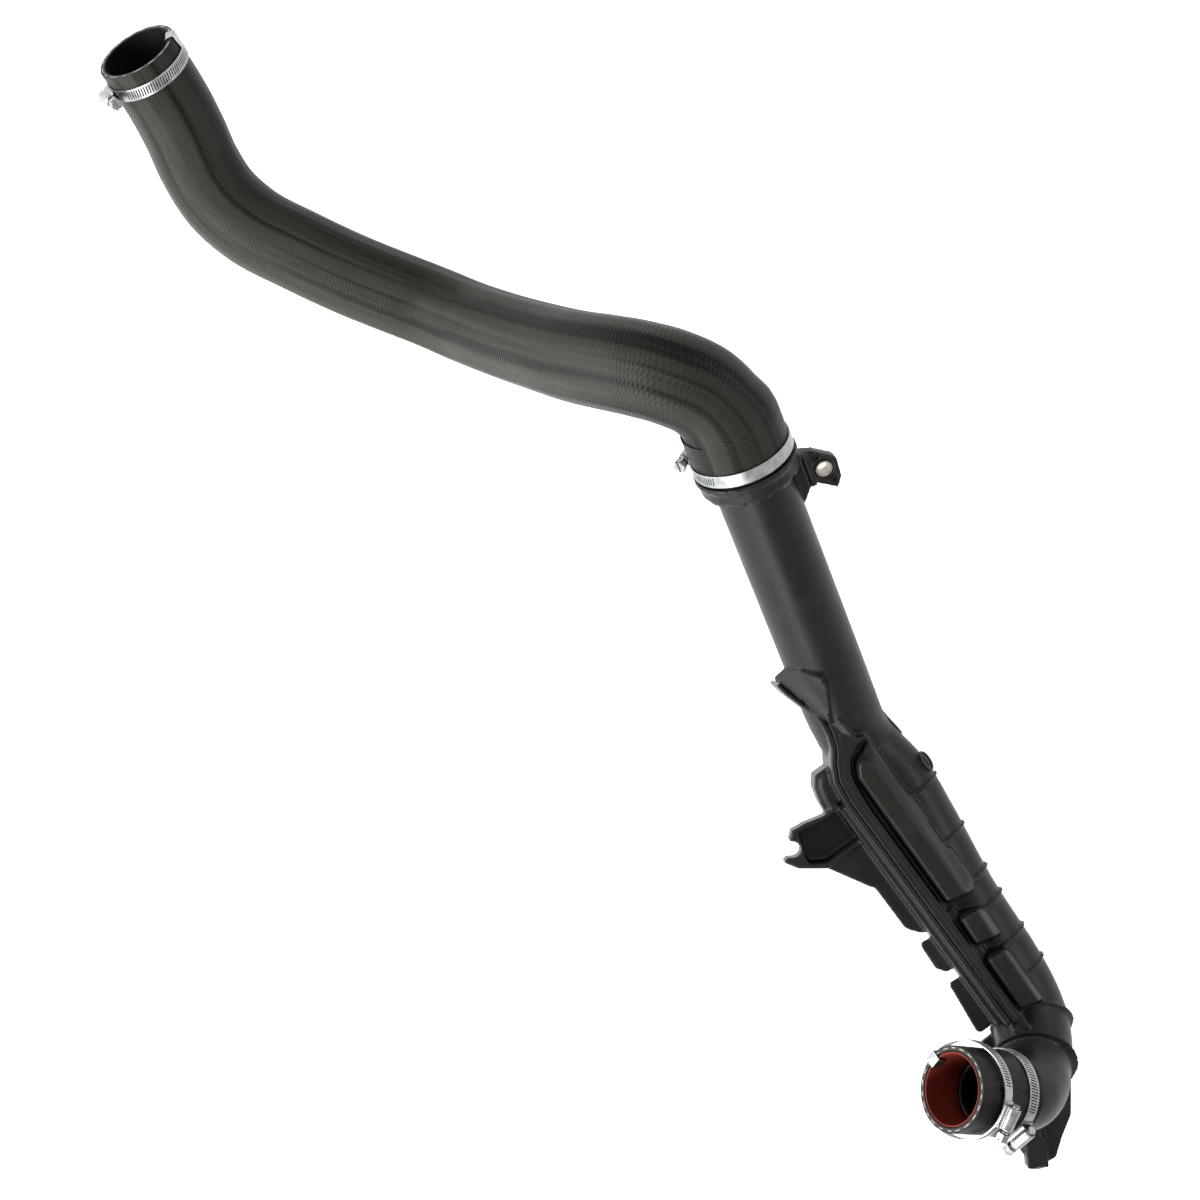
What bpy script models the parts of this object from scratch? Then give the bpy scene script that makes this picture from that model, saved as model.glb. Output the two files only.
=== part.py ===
"""Charge air hose: a moulded rubber hose, a plastic pipe with a ribbed duct, and a short connector.

It lies on the floor as it comes to rest. The rubber hose starts on the floor, rises over a bend and
is clamped on a sloping pipe. The pipe runs down into a flat-lying duct that is moulded as two shells,
and the duct ends in an elbow that carries a short lined connector hose with two worm-drive clamps.
Lengths are metres, +Z is up, and the floor is z = 0.
"""
import math

import bmesh
import bpy
from mathutils import Matrix, Vector

# Clearance between pieces that touch
GAP = 0.0003

# Pieces that are moulded together run into each other, and a cutter runs out of what it cuts
OVERLAP = 0.001
CUT_MARGIN = 0.010
HOLE_SIDES = 20

# Plastic pipe and duct: one tube runs through both
TUBE_OD = 0.054
TUBE_WALL = 0.003
PIPE_LENGTH = 0.261
PIPE_TILT = math.radians(31.9)
PIPE_HEADING = math.radians(114.3)
TUBE_SIDES = 28
AIRWAY_SIDES = 20

# A route gets a point at least this often, by length and by turn
ROUTE_SPACING = 0.060
ROUTE_TURN = math.radians(11)
ROUTE_CLEARANCE = 0.003
CURVE_STEPS = 12

# The duct's own frame: X runs along it, Y points away from its bracket, Z is up
DUCT_ORIGIN = Vector((0.1806, -0.1382, 0.0001))
DUCT_HEADING = math.radians(-53.7)
BEND_CORNER = Vector((-0.0271, 0.0293, TUBE_OD / 2))
BEND_EASE = 0.042
DUCT_ROUTE = [
    Vector((-0.0440, 0.0334, 0.0383)),
    Vector((-0.0245, 0.0328, 0.0298)),
    Vector((-0.0050, 0.0360, 0.0273)),
    Vector((0.0150, 0.0370, 0.0272)),
    Vector((0.0400, 0.0338, 0.0272)),
    Vector((0.0710, 0.0275, 0.0272)),
    Vector((0.1120, 0.0245, 0.0272)),
    Vector((0.1510, 0.0220, 0.0274)),
    Vector((0.1840, 0.0186, 0.0287)),
    Vector((0.2055, 0.0120, 0.0365)),
    Vector((0.2185, 0.0022, 0.0480)),
    Vector((0.2273, -0.0090, 0.0613)),
    Vector((0.2304, -0.0155, 0.0720)),
    Vector((0.2289, -0.0226, 0.0824)),
]
ELBOW_END = Vector((0.2230, -0.0297, 0.0911))
CONNECTOR_DIRECTION = Vector((-0.612, -0.529, 0.588)).normalized()

# The tube draws in where the pipe meets the duct: by how much, where along the route, over which part
KNEE_PINCH = 0.0015
KNEE_PLACE = 0.13
KNEE_SPREAD = 0.09
ELBOW_LEAD = 0.012

# Spigot and collar at the pipe's upper end, measured along the pipe from the clamp's middle
SPIGOT_OD = 0.0575
SPIGOT_LENGTH = 0.030
BEAD_HEIGHT = 0.0007
BEAD_LENGTH = 0.004
ROOT_LENGTH = 0.002
COLLAR_OD = 0.072
COLLAR_THICKNESS = 0.004
SKIRT_OD = 0.069
SKIRT_LENGTH = 0.009
SKIRT_TEETH = 12
TOOTH_HEIGHT = 0.0025
TOOTH_SHARE = 0.55
TOOTH_INSET = 0.001

# Ear on the pipe, in the plane of the pipe's axis: outward from the axis, then along it
EAR_THICKNESS = 0.009
EAR_HOLE = Vector((0.0468, -0.0360))
EAR_OUTLINE = [
    (0.0250, -0.0180), (0.0376, -0.0182), (0.0440, -0.0207), (0.0556, -0.0303), (0.0574, -0.0330),
    (0.0564, -0.0470), (0.0515, -0.0540), (0.0381, -0.0434), (0.0346, -0.0450), (0.0250, -0.0580),
]
EAR_RIM = 0.0030
EAR_POCKET = 0.0030
EAR_POCKET_OUTLINE = [
    (0.0405, -0.0235), (0.0440, -0.0243), (0.0530, -0.0318), (0.0540, -0.0335), (0.0532, -0.0462),
    (0.0510, -0.0495), (0.0405, -0.0415),
]
EAR_BOSS_DROP = 0.0005
EAR_RIB_OUTLINE = [(0.0354, -0.0175), (0.0376, -0.0182), (0.0386, -0.0440), (0.0354, -0.0446)]
EAR_RIB_HEIGHT = 0.0030
BUSH_OD = 0.0115
BUSH_WALL = 0.0012
EAR_BUSH_PROUD = 0.0005
LUG_BUSH_PROUD = 0.0008

# Duct shells: the seam is the line, seen from above, where the two shells are welded together
SEAM = [
    (-0.0990, 0.0103), (-0.0900, 0.0118), (-0.0700, 0.0177), (-0.0600, 0.0198), (-0.0480, 0.0181),
    (-0.0380, 0.0145), (-0.0300, 0.0085), (-0.0180, 0.0022), (0.0000, 0.0000), (0.1900, 0.0000),
]
FLANGE_THICKNESS = 0.0038
FLANGE_TOP = 0.070
FLANGE_BOTTOM = 0.004
SEAM_REACH = 0.004
LEDGE_WIDTH = 0.0088
LEDGE_DEPTH = 0.030
LEDGE_DROP = 0.0012
LEDGE_CORNER = 0.012
ARCH = [(-0.0030, 0.0100), (-0.0175, 0.0130), (-0.0250, 0.0175), (-0.0310, 0.0285), (-0.0330, 0.0370)]
ARCH_FOOT = (-0.0370, 0.0290)
TENT_CORNERS = [
    (-0.1020, 0.0176, 0.062), (-0.0990, 0.0115, 0.069), (-0.0700, 0.0180, 0.069), (-0.0590, 0.0200, 0.069),
    (-0.0812, 0.0344, 0.089), (-0.0644, 0.0263, 0.079), (-0.0548, 0.0205, 0.071), (-0.1000, 0.0180, 0.045),
    (-0.0600, 0.0200, 0.040), (-0.0812, 0.0344, 0.045), (-0.0590, 0.0300, 0.040),
]
BRACE_CORNERS = [
    (-0.0640, 0.0260, 0.078), (-0.0620, 0.0275, 0.078), (-0.0375, 0.0300, 0.070), (-0.0365, 0.0290, 0.066),
    (-0.0600, 0.0200, 0.066), (-0.0380, 0.0150, 0.060), (-0.0600, 0.0300, 0.050), (-0.0400, 0.0300, 0.050),
]
END_BLOCK_OUTLINE = [(0.1860, -GAP), (0.1970, -0.0040), (0.1990, 0.0090), (0.1860, 0.0100)]
END_BLOCK_BOTTOM = 0.020
END_BLOCK_DROP = 0.002
WEB_OUTLINE = [(-0.0430, 0.0500), (-0.0424, 0.0590), (-0.0140, 0.0617), (-0.0140, 0.0500)]
WEB_LEVEL = 0.0276
WEB_THICKNESS = 0.0025
DIAL_PLACE = 0.0100
DIAL_ELEVATION = math.radians(27)
DIAL_OD = 0.0165
DIAL_HEIGHT = 0.0012

# Resonance chambers on the duct: start, end, near edge, crest and far edge across the duct
CHAMBERS = [
    (-0.0130, 0.0940, 0.0150, 0.0280, 0.0370),
    (0.1092, 0.1300, 0.0140, 0.0270, 0.0328),
    (0.1430, 0.1845, 0.0125, 0.0255, 0.0295),
]
CHAMBER_TOP = 0.074
CHAMBER_SIDE_TOP = 0.059
CHAMBER_END_SLOPE = 0.007
CHAMBER_PROW = (-0.0310, 0.0370, 0.0640)
CHAMBER_DRAFT = 0.001
CHAMBER_FOOT = 0.012
HOLLOW_FLOOR = 0.015
PADS = [(0.018, 0.041), (0.066, 0.094)]
PAD_DROP = 0.007
PAD_SETBACK = 0.004
PAD_REACH = 0.0015

# Stiffening ribs on the duct and discs on the elbow
RIB_PLACES = [0.0220, 0.0622, 0.0962, 0.1170, 0.1460, 0.1718]
RIB_HEIGHT = 0.0024
RIB_THICKNESS = 0.0015
RIB_START = math.radians(-28)
RIB_END = math.radians(86)
DISCS = [
    (Vector((0.2066, 0.0120, 0.0360)), Vector((0.628, -0.412, 0.660)), 0.0303),
    (Vector((0.2240, -0.0040, 0.0560)), Vector((0.398, -0.429, 0.810)), 0.0315),
]
DISC_THICKNESS = 0.0016

# Rear shell: wall, tabs, bump and fork bracket
REAR_WALL_WIDTH = 0.0090
REAR_WALL_TOP = 0.060
REAR_WALL_BOTTOM = 0.010
TAB_LEVEL = 0.036
TAB_THICKNESS = 0.0028
REAR_OVERLAP = 0.002
TABS = [
    [(0.050, -0.0209), (0.0969, -0.0205), (0.1012, -0.0183), (0.1080, -0.0126), (0.1100, -0.0060)],
    [(0.1140, -0.0067), (0.1125, -0.0170), (0.1150, -0.0190), (0.1336, -0.0199), (0.1406, -0.0153),
     (0.1414, -0.0085)],
    [(0.1485, -0.0085), (0.1477, -0.0175), (0.1500, -0.0192), (0.1872, -0.0230), (0.1931, -0.0185),
     (0.1931, -0.0060)],
]
BRACKET_TOP = 0.050
BRACKET_HEIGHT = 0.020
BRACKET_FLOOR = 0.0035
BRACKET_OUTLINE = [
    (-0.0027, -0.0060), (-0.0027, -0.0199), (-0.0065, -0.0347), (-0.0068, -0.0398), (-0.0076, -0.0444),
    (-0.0010, -0.0520), (0.0060, -0.0585), (0.0074, -0.0624), (0.0171, -0.0564), (0.0238, -0.0472),
    (0.0290, -0.0400), (0.0290, -0.0060),
]
TRAY_POCKET = [
    (0.0005, -0.0010), (0.0005, -0.0200), (-0.0032, -0.0365), (-0.0040, -0.0415), (0.0030, -0.0434),
    (0.0120, -0.0475), (0.0190, -0.0480), (0.0258, -0.0370), (0.0258, -0.0010),
]
FORK_SLOT_WIDTH = 0.0115
FORK_SLOT_DEPTH = 0.0105
FORK_SLOT_MOUTH = Vector((0.0010, -0.0555))
FORK_SLOT_DIRECTION = math.radians(53.7)
GUSSET_OUTLINE = [(0.0270, -0.0060), (0.0270, -0.0410), (0.0591, -0.0231), (0.0620, -0.0205),
                  (0.0620, -0.0060)]
GUSSET_DROP = 0.002
BUMP_OUTLINE = [(-0.0290, 0.0051), (-0.0290, -0.0081), (-0.0223, -0.0137), (-0.0111, -0.0166),
                (0.0003, -0.0178), (0.0003, 0.0020)]
BUMP_TOP = 0.046
BUMP_BOTTOM = 0.014

# Lower lug under the elbow
LUG_LEVEL = 0.014
LUG_THICKNESS = 0.008
LUG_OUTLINE = [
    (0.2100, 0.0220), (0.2400, 0.0230), (0.2603, 0.0117), (0.2800, -0.0029), (0.2890, -0.0175),
    (0.2985, -0.0300), (0.2965, -0.0440), (0.2810, -0.0480), (0.2600, -0.0400), (0.2200, -0.0200),
    (0.2100, -0.0060),
]
LUG_WEB_CORNERS = [
    (0.2120, 0.0120, 0.020), (0.2120, 0.0090, 0.020), (0.2200, 0.0060, 0.036), (0.2220, 0.0020, 0.036),
    (0.2620, -0.0170, 0.020), (0.2600, -0.0210, 0.020), (0.2400, -0.0060, 0.036), (0.2380, -0.0100, 0.036),
]
FOOT_OUTLINE = [(0.1970, -0.0060), (0.1975, -0.0245), (0.2100, -0.0265), (0.2240, -0.0190), (0.2240, -0.0040)]
FOOT_BOTTOM = 0.024
FOOT_TOP = 0.030
LUG_BOSS_START = Vector((0.2542, -0.0214, 0.0200))
LUG_BOSS_END = Vector((0.2957, -0.0449, 0.0200))
LUG_BOSS_OD = 0.0152

# Upper hose: the route is measured from the middle of the clamp on the pipe
HOSE_ROUTE = [
    Vector((-0.0266, 0.0373, 0.0225)),
    Vector((-0.0461, 0.0458, 0.0258)),
    Vector((-0.0666, 0.0523, 0.0172)),
    Vector((-0.0860, 0.0578, 0.0012)),
    Vector((-0.1059, 0.0638, -0.0205)),
    Vector((-0.1335, 0.0750, -0.0560)),
    Vector((-0.1622, 0.0878, -0.0920)),
    Vector((-0.1882, 0.1003, -0.1205)),
    Vector((-0.2144, 0.1127, -0.1338)),
    Vector((-0.2417, 0.1234, -0.1348)),
    Vector((-0.2675, 0.1337, -0.1349)),
    Vector((-0.3077, 0.1523, -0.1349)),
    Vector((-0.3440, 0.1715, -0.1338)),
    Vector((-0.3645, 0.1900, -0.1308)),
    Vector((-0.3775, 0.2110, -0.1243)),
    Vector((-0.3860, 0.2325, -0.1125)),
    Vector((-0.3948, 0.2515, -0.0978)),
    Vector((-0.4032, 0.2660, -0.0840)),
    Vector((-0.4116, 0.2795, -0.0700)),
]
HOSE_WALL = 0.004
HOSE_OD_MOUTH = 0.0578
HOSE_OD_BODY = 0.0600
HOSE_OD_BEND = 0.0640
HOSE_BEND_PLACE = 0.13
HOSE_BEND_SPREAD = 0.16
HOSE_TAPER_START = 0.8
CUFF_MARGIN = 0.002
CUFF_TAPER = 0.012
HOSE_SETBACK = 0.0065
HOSE_SIDES = 28

# Connector hose on the elbow
CONNECTOR_LENGTH = 0.057
CONNECTOR_OD = 0.0585
CONNECTOR_WALL = 0.0040
LINER_WALL = 0.0010
CONNECTOR_OVERLAP = 0.003
ELBOW_SPIGOT_LENGTH = 0.028
CONNECTOR_SIDES = 40

# Worm-drive clamps
BAND_WIDTH = 0.009
BAND_THICKNESS = 0.0010
BAND_SIDES = 40
HOUSING_LENGTH = 0.021
HOUSING_WIDTH = 0.0120
HOUSING_HEIGHT = 0.0088
HOUSING_SHOULDER = 0.0033
HOUSING_CROWN_WIDTH = 0.0037
HOUSING_CROWN_DROP = 0.001
HOUSING_SINK = 0.002
SCREW_OD = 0.0060
SCREW_LIFT = 0.0048
SCREW_HEAD_FLATS = 0.0080
SCREW_HEAD_LENGTH = 0.0055
CLIP_WIDTH = 0.0085
CLIP_THICKNESS = 0.0008
CLIP_REACH = 0.007
MID_CLAMP_TURN = math.radians(140)
END_CLAMP_PLACE = 0.0145
END_CLAMP_TURN = math.radians(-76)
END_CLIP_TURN = math.radians(75)
INNER_CLAMP_PLACE = 0.049
INNER_CLAMP_TURN = math.radians(-40)
LOOSE_CLAMP_PLACE = 0.0155
LOOSE_CLAMP_SLACK = 0.0071
LOOSE_CLAMP_TILT = math.radians(12)
LOOSE_CLAMP_TURN = math.radians(-12)
LOOSE_CLAMP_DROP = 0.0014
LOOSE_CLIP_TURN = math.radians(147)
LOOSE_CLIP_FOOT = 0.012


def reset_scene():
    for item in list(bpy.data.objects):
        bpy.data.objects.remove(item, do_unlink=True)


def make_material(name, colour, roughness, metallic=0.0):
    material = bpy.data.materials.new(name)
    material.use_nodes = True
    shader = material.node_tree.nodes["Principled BSDF"]
    shader.inputs["Base Color"].default_value = (*colour, 1.0)
    shader.inputs["Roughness"].default_value = roughness
    shader.inputs["Metallic"].default_value = metallic
    return material


def axis_frame(origin, direction, towards):
    """A frame whose Z is the direction and whose X leans towards another one."""
    z = direction.normalized()
    x = (towards - z * towards.dot(z)).normalized()
    y = z.cross(x)
    frame = Matrix((x, y, z)).transposed().to_4x4()
    frame.translation = origin
    return frame


def add_object(name, bm, frame=None):
    """A mesh object from a bmesh whose faces are made to point out."""
    bmesh.ops.remove_doubles(bm, verts=bm.verts, dist=1e-6)
    bmesh.ops.recalc_face_normals(bm, faces=bm.faces)
    mesh = bpy.data.meshes.new(name)
    bm.to_mesh(mesh)
    bm.free()
    item = bpy.data.objects.new(name, mesh)
    bpy.context.collection.objects.link(item)
    if frame is not None:
        mesh.transform(frame)
    return item


def finish(item, material, edge_angle=38):
    item.data.materials.clear()
    item.data.materials.append(material)
    item.data.shade_smooth()
    item.data.set_sharp_from_angle(angle=math.radians(edge_angle))
    return item


def combine(target, other, operation, solver="EXACT"):
    """Join, cut or intersect with another object, which is used up."""
    modifier = target.modifiers.new("combine", "BOOLEAN")
    modifier.solver = solver
    modifier.operation = operation
    modifier.object = other
    graph = bpy.context.evaluated_depsgraph_get()
    result = bpy.data.meshes.new_from_object(target.evaluated_get(graph))
    target.modifiers.clear()
    target.data = result
    bpy.data.objects.remove(other, do_unlink=True)
    return target


def mould(target, other, operation):
    """Combine on the shells, whose many near-flush faces the exact solver leaves open."""
    return combine(target, other, operation, "MANIFOLD")


def union(target, others):
    for other in others:
        mould(target, other, "UNION")
    return target


def curve_slope(before, point, after):
    """The slope of a smooth curve at a point between two others, weighted by their distances."""
    back = point - before
    ahead = after - point
    near = back.length
    far = ahead.length
    return (back * (far / near) + ahead * (near / far)) / (near + far)


def smooth_curve(points):
    """Close points on a curve through all but the first and last point, which only steer it."""
    curve = [points[1].copy()]
    for before, start, end, after in zip(points, points[1:], points[2:], points[3:]):
        length = (end - start).length
        leaving = curve_slope(before, start, end) * length
        arriving = curve_slope(start, end, after) * length
        for step in range(1, CURVE_STEPS + 1):
            t = step / CURVE_STEPS
            curve.append((2 * t ** 3 - 3 * t ** 2 + 1) * start + (t ** 3 - 2 * t ** 2 + t) * leaving
                         + (3 * t ** 2 - 2 * t ** 3) * end + (t ** 3 - t ** 2) * arriving)
    return curve


def smooth_route(points):
    """The curve's points that matter: close together in its bends and far apart where it is straight."""
    curve = smooth_curve(points)
    route = [curve[0]]
    heading = curve[1] - curve[0]
    for here, following in zip(curve[1:], curve[2:]):
        direction = following - here
        if heading.angle(direction) > ROUTE_TURN or (here - route[-1]).length > ROUTE_SPACING:
            route.append(here)
            heading = direction
    if (curve[-1] - route[-1]).length < ROUTE_CLEARANCE:
        route.pop()
    return [*route, curve[-1]]


def route_stations(route, radius, first_direction=None, last_direction=None):
    """Stations (centre, direction, radius) along a route, with the radius by the part travelled."""
    lengths = [0.0]
    for before, after in zip(route, route[1:]):
        lengths.append(lengths[-1] + (after - before).length)
    stations = []
    for index, point in enumerate(route):
        ahead = route[min(index + 1, len(route) - 1)]
        behind = route[max(index - 1, 0)]
        direction = (ahead - behind).normalized()
        if index == 0 and first_direction is not None:
            direction = first_direction.normalized()
        if index == len(route) - 1 and last_direction is not None:
            direction = last_direction.normalized()
        stations.append((point, direction, radius(lengths[index] / lengths[-1])))
    return stations


def add_rings(bm, stations, sides):
    """Rings of vertices round the stations, each turned from the last without twist."""
    rings = []
    direction = stations[0][1]
    side = direction.orthogonal().normalized()
    for centre, heading, radius in stations:
        side.rotate(direction.rotation_difference(heading))
        side = (side - heading * side.dot(heading)).normalized()
        direction = heading
        other = heading.cross(side)
        angles = [2 * math.pi * k / sides for k in range(sides)]
        rings.append([bm.verts.new(centre + radius * (math.cos(a) * side + math.sin(a) * other))
                      for a in angles])
    return rings


def bridge(bm, ring, following):
    count = len(ring)
    for k in range(count):
        j = (k + 1) % count
        bm.faces.new((ring[k], ring[j], following[j], following[k]))


def swept_solid(name, stations, sides):
    bm = bmesh.new()
    rings = add_rings(bm, stations, sides)
    for ring, following in zip(rings, rings[1:]):
        bridge(bm, ring, following)
    bm.faces.new(rings[0])
    bm.faces.new(rings[-1])
    return add_object(name, bm)


def swept_tube(name, outer, inner, sides):
    """A hollow tube with flat annular ends."""
    bm = bmesh.new()
    outer_rings = add_rings(bm, outer, sides)
    inner_rings = add_rings(bm, inner, sides)
    for rings in (outer_rings, inner_rings):
        for ring, following in zip(rings, rings[1:]):
            bridge(bm, ring, following)
    bridge(bm, outer_rings[0], inner_rings[0])
    bridge(bm, outer_rings[-1], inner_rings[-1])
    return add_object(name, bm)


def turned_ring(name, inner_radius, outer_radius, low, high, sides, frame):
    """A ring with a rectangular section round the frame's Z."""
    bm = bmesh.new()
    profile = [(inner_radius, low), (outer_radius, low), (outer_radius, high), (inner_radius, high)]
    rings = []
    for radius, height in profile:
        rings.append([bm.verts.new((radius * math.cos(2 * math.pi * k / sides),
                                    radius * math.sin(2 * math.pi * k / sides), height))
                      for k in range(sides)])
    for ring, following in zip(rings, rings[1:] + rings[:1]):
        bridge(bm, ring, following)
    return add_object(name, bm, frame)


def cylinder(name, radius, low, high, sides, frame):
    bm = bmesh.new()
    bmesh.ops.create_cone(bm, cap_ends=True, segments=sides, radius1=radius, radius2=radius,
                          depth=high - low, matrix=Matrix.Translation((0, 0, (high + low) / 2)))
    return add_object(name, bm, frame)


def prism(name, outline, low, high, frame=None):
    """An outline in X and Y, raised from one height to another."""
    bm = bmesh.new()
    base = [bm.verts.new((x, y, low)) for x, y in outline]
    top = [bm.verts.new((x, y, high)) for x, y in outline]
    bridge(bm, base, top)
    bm.faces.new(base)
    bm.faces.new(top)
    return add_object(name, bm, frame)


def hull(name, points, frame=None):
    """The closed shape that wraps the points."""
    bm = bmesh.new()
    for point in points:
        bm.verts.new(point)
    result = bmesh.ops.convex_hull(bm, input=bm.verts)
    spare = [v for v in result["geom_interior"] if isinstance(v, bmesh.types.BMVert)]
    bmesh.ops.delete(bm, geom=spare, context="VERTS")
    return add_object(name, bm, frame)


def offset_line(points, distance):
    """A line beside another one, at a distance to its left."""
    shifted = []
    for index, (x, y) in enumerate(points):
        behind = Vector(points[max(index - 1, 0)])
        ahead = Vector(points[min(index + 1, len(points) - 1)])
        along = (ahead - behind).normalized()
        shifted.append((x - along.y * distance, y + along.x * distance))
    return shifted


def pipe_frame():
    """Z runs up the pipe from the middle of its clamp, X is the pipe's right, seen from above."""
    corner = duct_frame() @ BEND_CORNER
    direction = Vector((math.cos(PIPE_HEADING) * math.cos(PIPE_TILT),
                        math.sin(PIPE_HEADING) * math.cos(PIPE_TILT), math.sin(PIPE_TILT)))
    right = Vector((math.sin(PIPE_HEADING), -math.cos(PIPE_HEADING), 0))
    return axis_frame(corner + direction * PIPE_LENGTH, direction, right)


def duct_frame():
    return Matrix.Translation(DUCT_ORIGIN) @ Matrix.Rotation(DUCT_HEADING, 4, "Z")


def connector_frame():
    """Z runs out of the connector's mouth, and the origin is the elbow's end."""
    duct = duct_frame()
    direction = duct.to_3x3() @ CONNECTOR_DIRECTION
    return axis_frame(duct @ ELBOW_END, direction, Vector((0, 0, 1)))


def spigot_profile(tip, root, radius):
    """Places and radii along a spigot from its tip to its root, with a bead near the tip."""
    bead_end = tip - BEAD_LENGTH
    return [(tip, radius - BEAD_HEIGHT), (tip - BEAD_LENGTH / 3, radius + BEAD_HEIGHT),
            (bead_end + BEAD_LENGTH / 3, radius + BEAD_HEIGHT), (bead_end, radius), (root, radius)]


def duct_tube_route():
    """The middle line of the pipe's foot, the duct and the elbow."""
    duct = duct_frame()
    down = -(pipe_frame().to_3x3() @ Vector((0, 0, 1)))
    corner = duct @ BEND_CORNER
    ease_in = corner - down * BEND_EASE
    through = [duct @ point for point in DUCT_ROUTE]
    end = duct @ ELBOW_END
    outward = connector_frame().to_3x3() @ Vector((0, 0, 1))
    return smooth_route([ease_in - down * BEND_EASE, ease_in, *through, end, end + outward * ELBOW_LEAD])


def knee_radius(radius):
    """A radius along the duct's route that draws in at the knee."""
    return lambda part: radius - KNEE_PINCH * math.exp(-((part - KNEE_PLACE) / KNEE_SPREAD) ** 2)


def tube_stations(radius, spigot_radius, elbow_radius, extension):
    """Stations of the whole plastic tube, from the upper spigot to the elbow's spigot."""
    upper = pipe_frame()
    lower = connector_frame()
    down = -(upper.to_3x3() @ Vector((0, 0, 1)))
    outward = lower.to_3x3() @ Vector((0, 0, 1))
    tip = SPIGOT_LENGTH - HOSE_SETBACK + extension
    root = -HOSE_SETBACK - COLLAR_THICKNESS
    stations = []
    for place, size in spigot_profile(tip, root, spigot_radius):
        stations.append((upper @ Vector((0, 0, place)), down, size))
    stations.append((upper @ Vector((0, 0, root - ROOT_LENGTH)), down, radius))
    stations += route_stations(duct_tube_route(), knee_radius(radius), down, outward)
    spigot_tip = CONNECTOR_OVERLAP + ELBOW_SPIGOT_LENGTH + extension
    for place, size in reversed(spigot_profile(spigot_tip, CONNECTOR_OVERLAP, elbow_radius)):
        stations.append((lower @ Vector((0, 0, place)), outward, size))
    return stations


def bore_stations(extension):
    """The airway through the plastic tube."""
    radius = TUBE_OD / 2 - TUBE_WALL
    upper = pipe_frame()
    lower = connector_frame()
    down = -(upper.to_3x3() @ Vector((0, 0, 1)))
    outward = lower.to_3x3() @ Vector((0, 0, 1))
    tip = SPIGOT_LENGTH - HOSE_SETBACK + extension
    spigot_tip = CONNECTOR_OVERLAP + ELBOW_SPIGOT_LENGTH + extension
    narrow = elbow_spigot_radius() - TUBE_WALL
    stations = [(upper @ Vector((0, 0, tip)), down, radius)]
    stations += route_stations(duct_tube_route(), knee_radius(radius), down, outward)
    stations.append((lower @ Vector((0, 0, CONNECTOR_OVERLAP)), outward, narrow))
    stations.append((lower @ Vector((0, 0, spigot_tip)), outward, narrow))
    return stations


def elbow_spigot_radius():
    return CONNECTOR_OD / 2 - CONNECTOR_WALL - LINER_WALL - 2 * GAP - BEAD_HEIGHT - GAP


def seam_side(name, clearance):
    """The space on the rear side of the seam, pulled back from it all round by a clearance."""
    line = offset_line(SEAM, -clearance)
    start = (line[0][0] + clearance, line[0][1])
    end = (line[-1][0] - clearance, line[-1][1])
    behind = min(y for x, y in BRACKET_OUTLINE) - TUBE_OD
    outline = [start, *line[1:-1], end, (end[0], behind), (start[0], behind)]
    reach = SEAM_REACH - clearance
    return prism(name, outline, -reach, FLANGE_TOP + reach, duct_frame())


def inside_wall():
    """The radius that a piece moulded on the tube starts from, halfway through the tube's wall."""
    return TUBE_OD / 2 - TUBE_WALL / 2


def collar_parts():
    """The collar that the hose stops at, with its toothed skirt."""
    frame = pipe_frame()
    top = -HOSE_SETBACK - GAP
    bottom = top - COLLAR_THICKNESS
    skirt_bottom = bottom - SKIRT_LENGTH
    inner = inside_wall()
    flange = turned_ring("collar", inner, COLLAR_OD / 2, bottom, top, TUBE_SIDES, frame)
    skirt = turned_ring("skirt", inner, SKIRT_OD / 2, skirt_bottom, bottom + OVERLAP, TUBE_SIDES, frame)
    parts = [flange, skirt]
    half = math.pi / SKIRT_TEETH * TOOTH_SHARE
    outer = SKIRT_OD / 2 - TOOTH_INSET
    for k in range(SKIRT_TEETH):
        angle = 2 * math.pi * k / SKIRT_TEETH
        corners = []
        for radius, turn in ((inner, -half), (outer, -half), (outer, half), (inner, half)):
            corners.append((radius * math.cos(angle + turn), radius * math.sin(angle + turn)))
        parts.append(prism("tooth", corners, skirt_bottom - TOOTH_HEIGHT, skirt_bottom + OVERLAP, frame))
    return parts


def ear_frame():
    """X points outward from the pipe's axis, Y up the pipe and Z out of the ear's face."""
    pipe = pipe_frame()
    x = pipe.to_3x3() @ Vector((1, 0, 0))
    y = pipe.to_3x3() @ Vector((0, 0, 1))
    frame = Matrix((x, y, x.cross(y))).transposed().to_4x4()
    frame.translation = pipe.translation
    return frame


def ear_parts():
    """The ear with its pocket round the bush, and the rib that ties it to the pipe."""
    frame = ear_frame()
    half = EAR_THICKNESS / 2
    plate = prism("ear", EAR_OUTLINE, -half, half, frame)
    hub = frame @ Matrix.Translation((EAR_HOLE.x, EAR_HOLE.y, 0))
    pocket = prism("pocket", EAR_POCKET_OUTLINE, half - EAR_POCKET, half + CUT_MARGIN, frame)
    combine(plate, pocket, "DIFFERENCE")
    boss = cylinder("boss", BUSH_OD / 2 + EAR_RIM, -half, half - EAR_BOSS_DROP, HOLE_SIDES, hub)
    rib = prism("ear_rib", EAR_RIB_OUTLINE, -half, half + EAR_RIB_HEIGHT, frame)
    return [plate, boss, rib]


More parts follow.
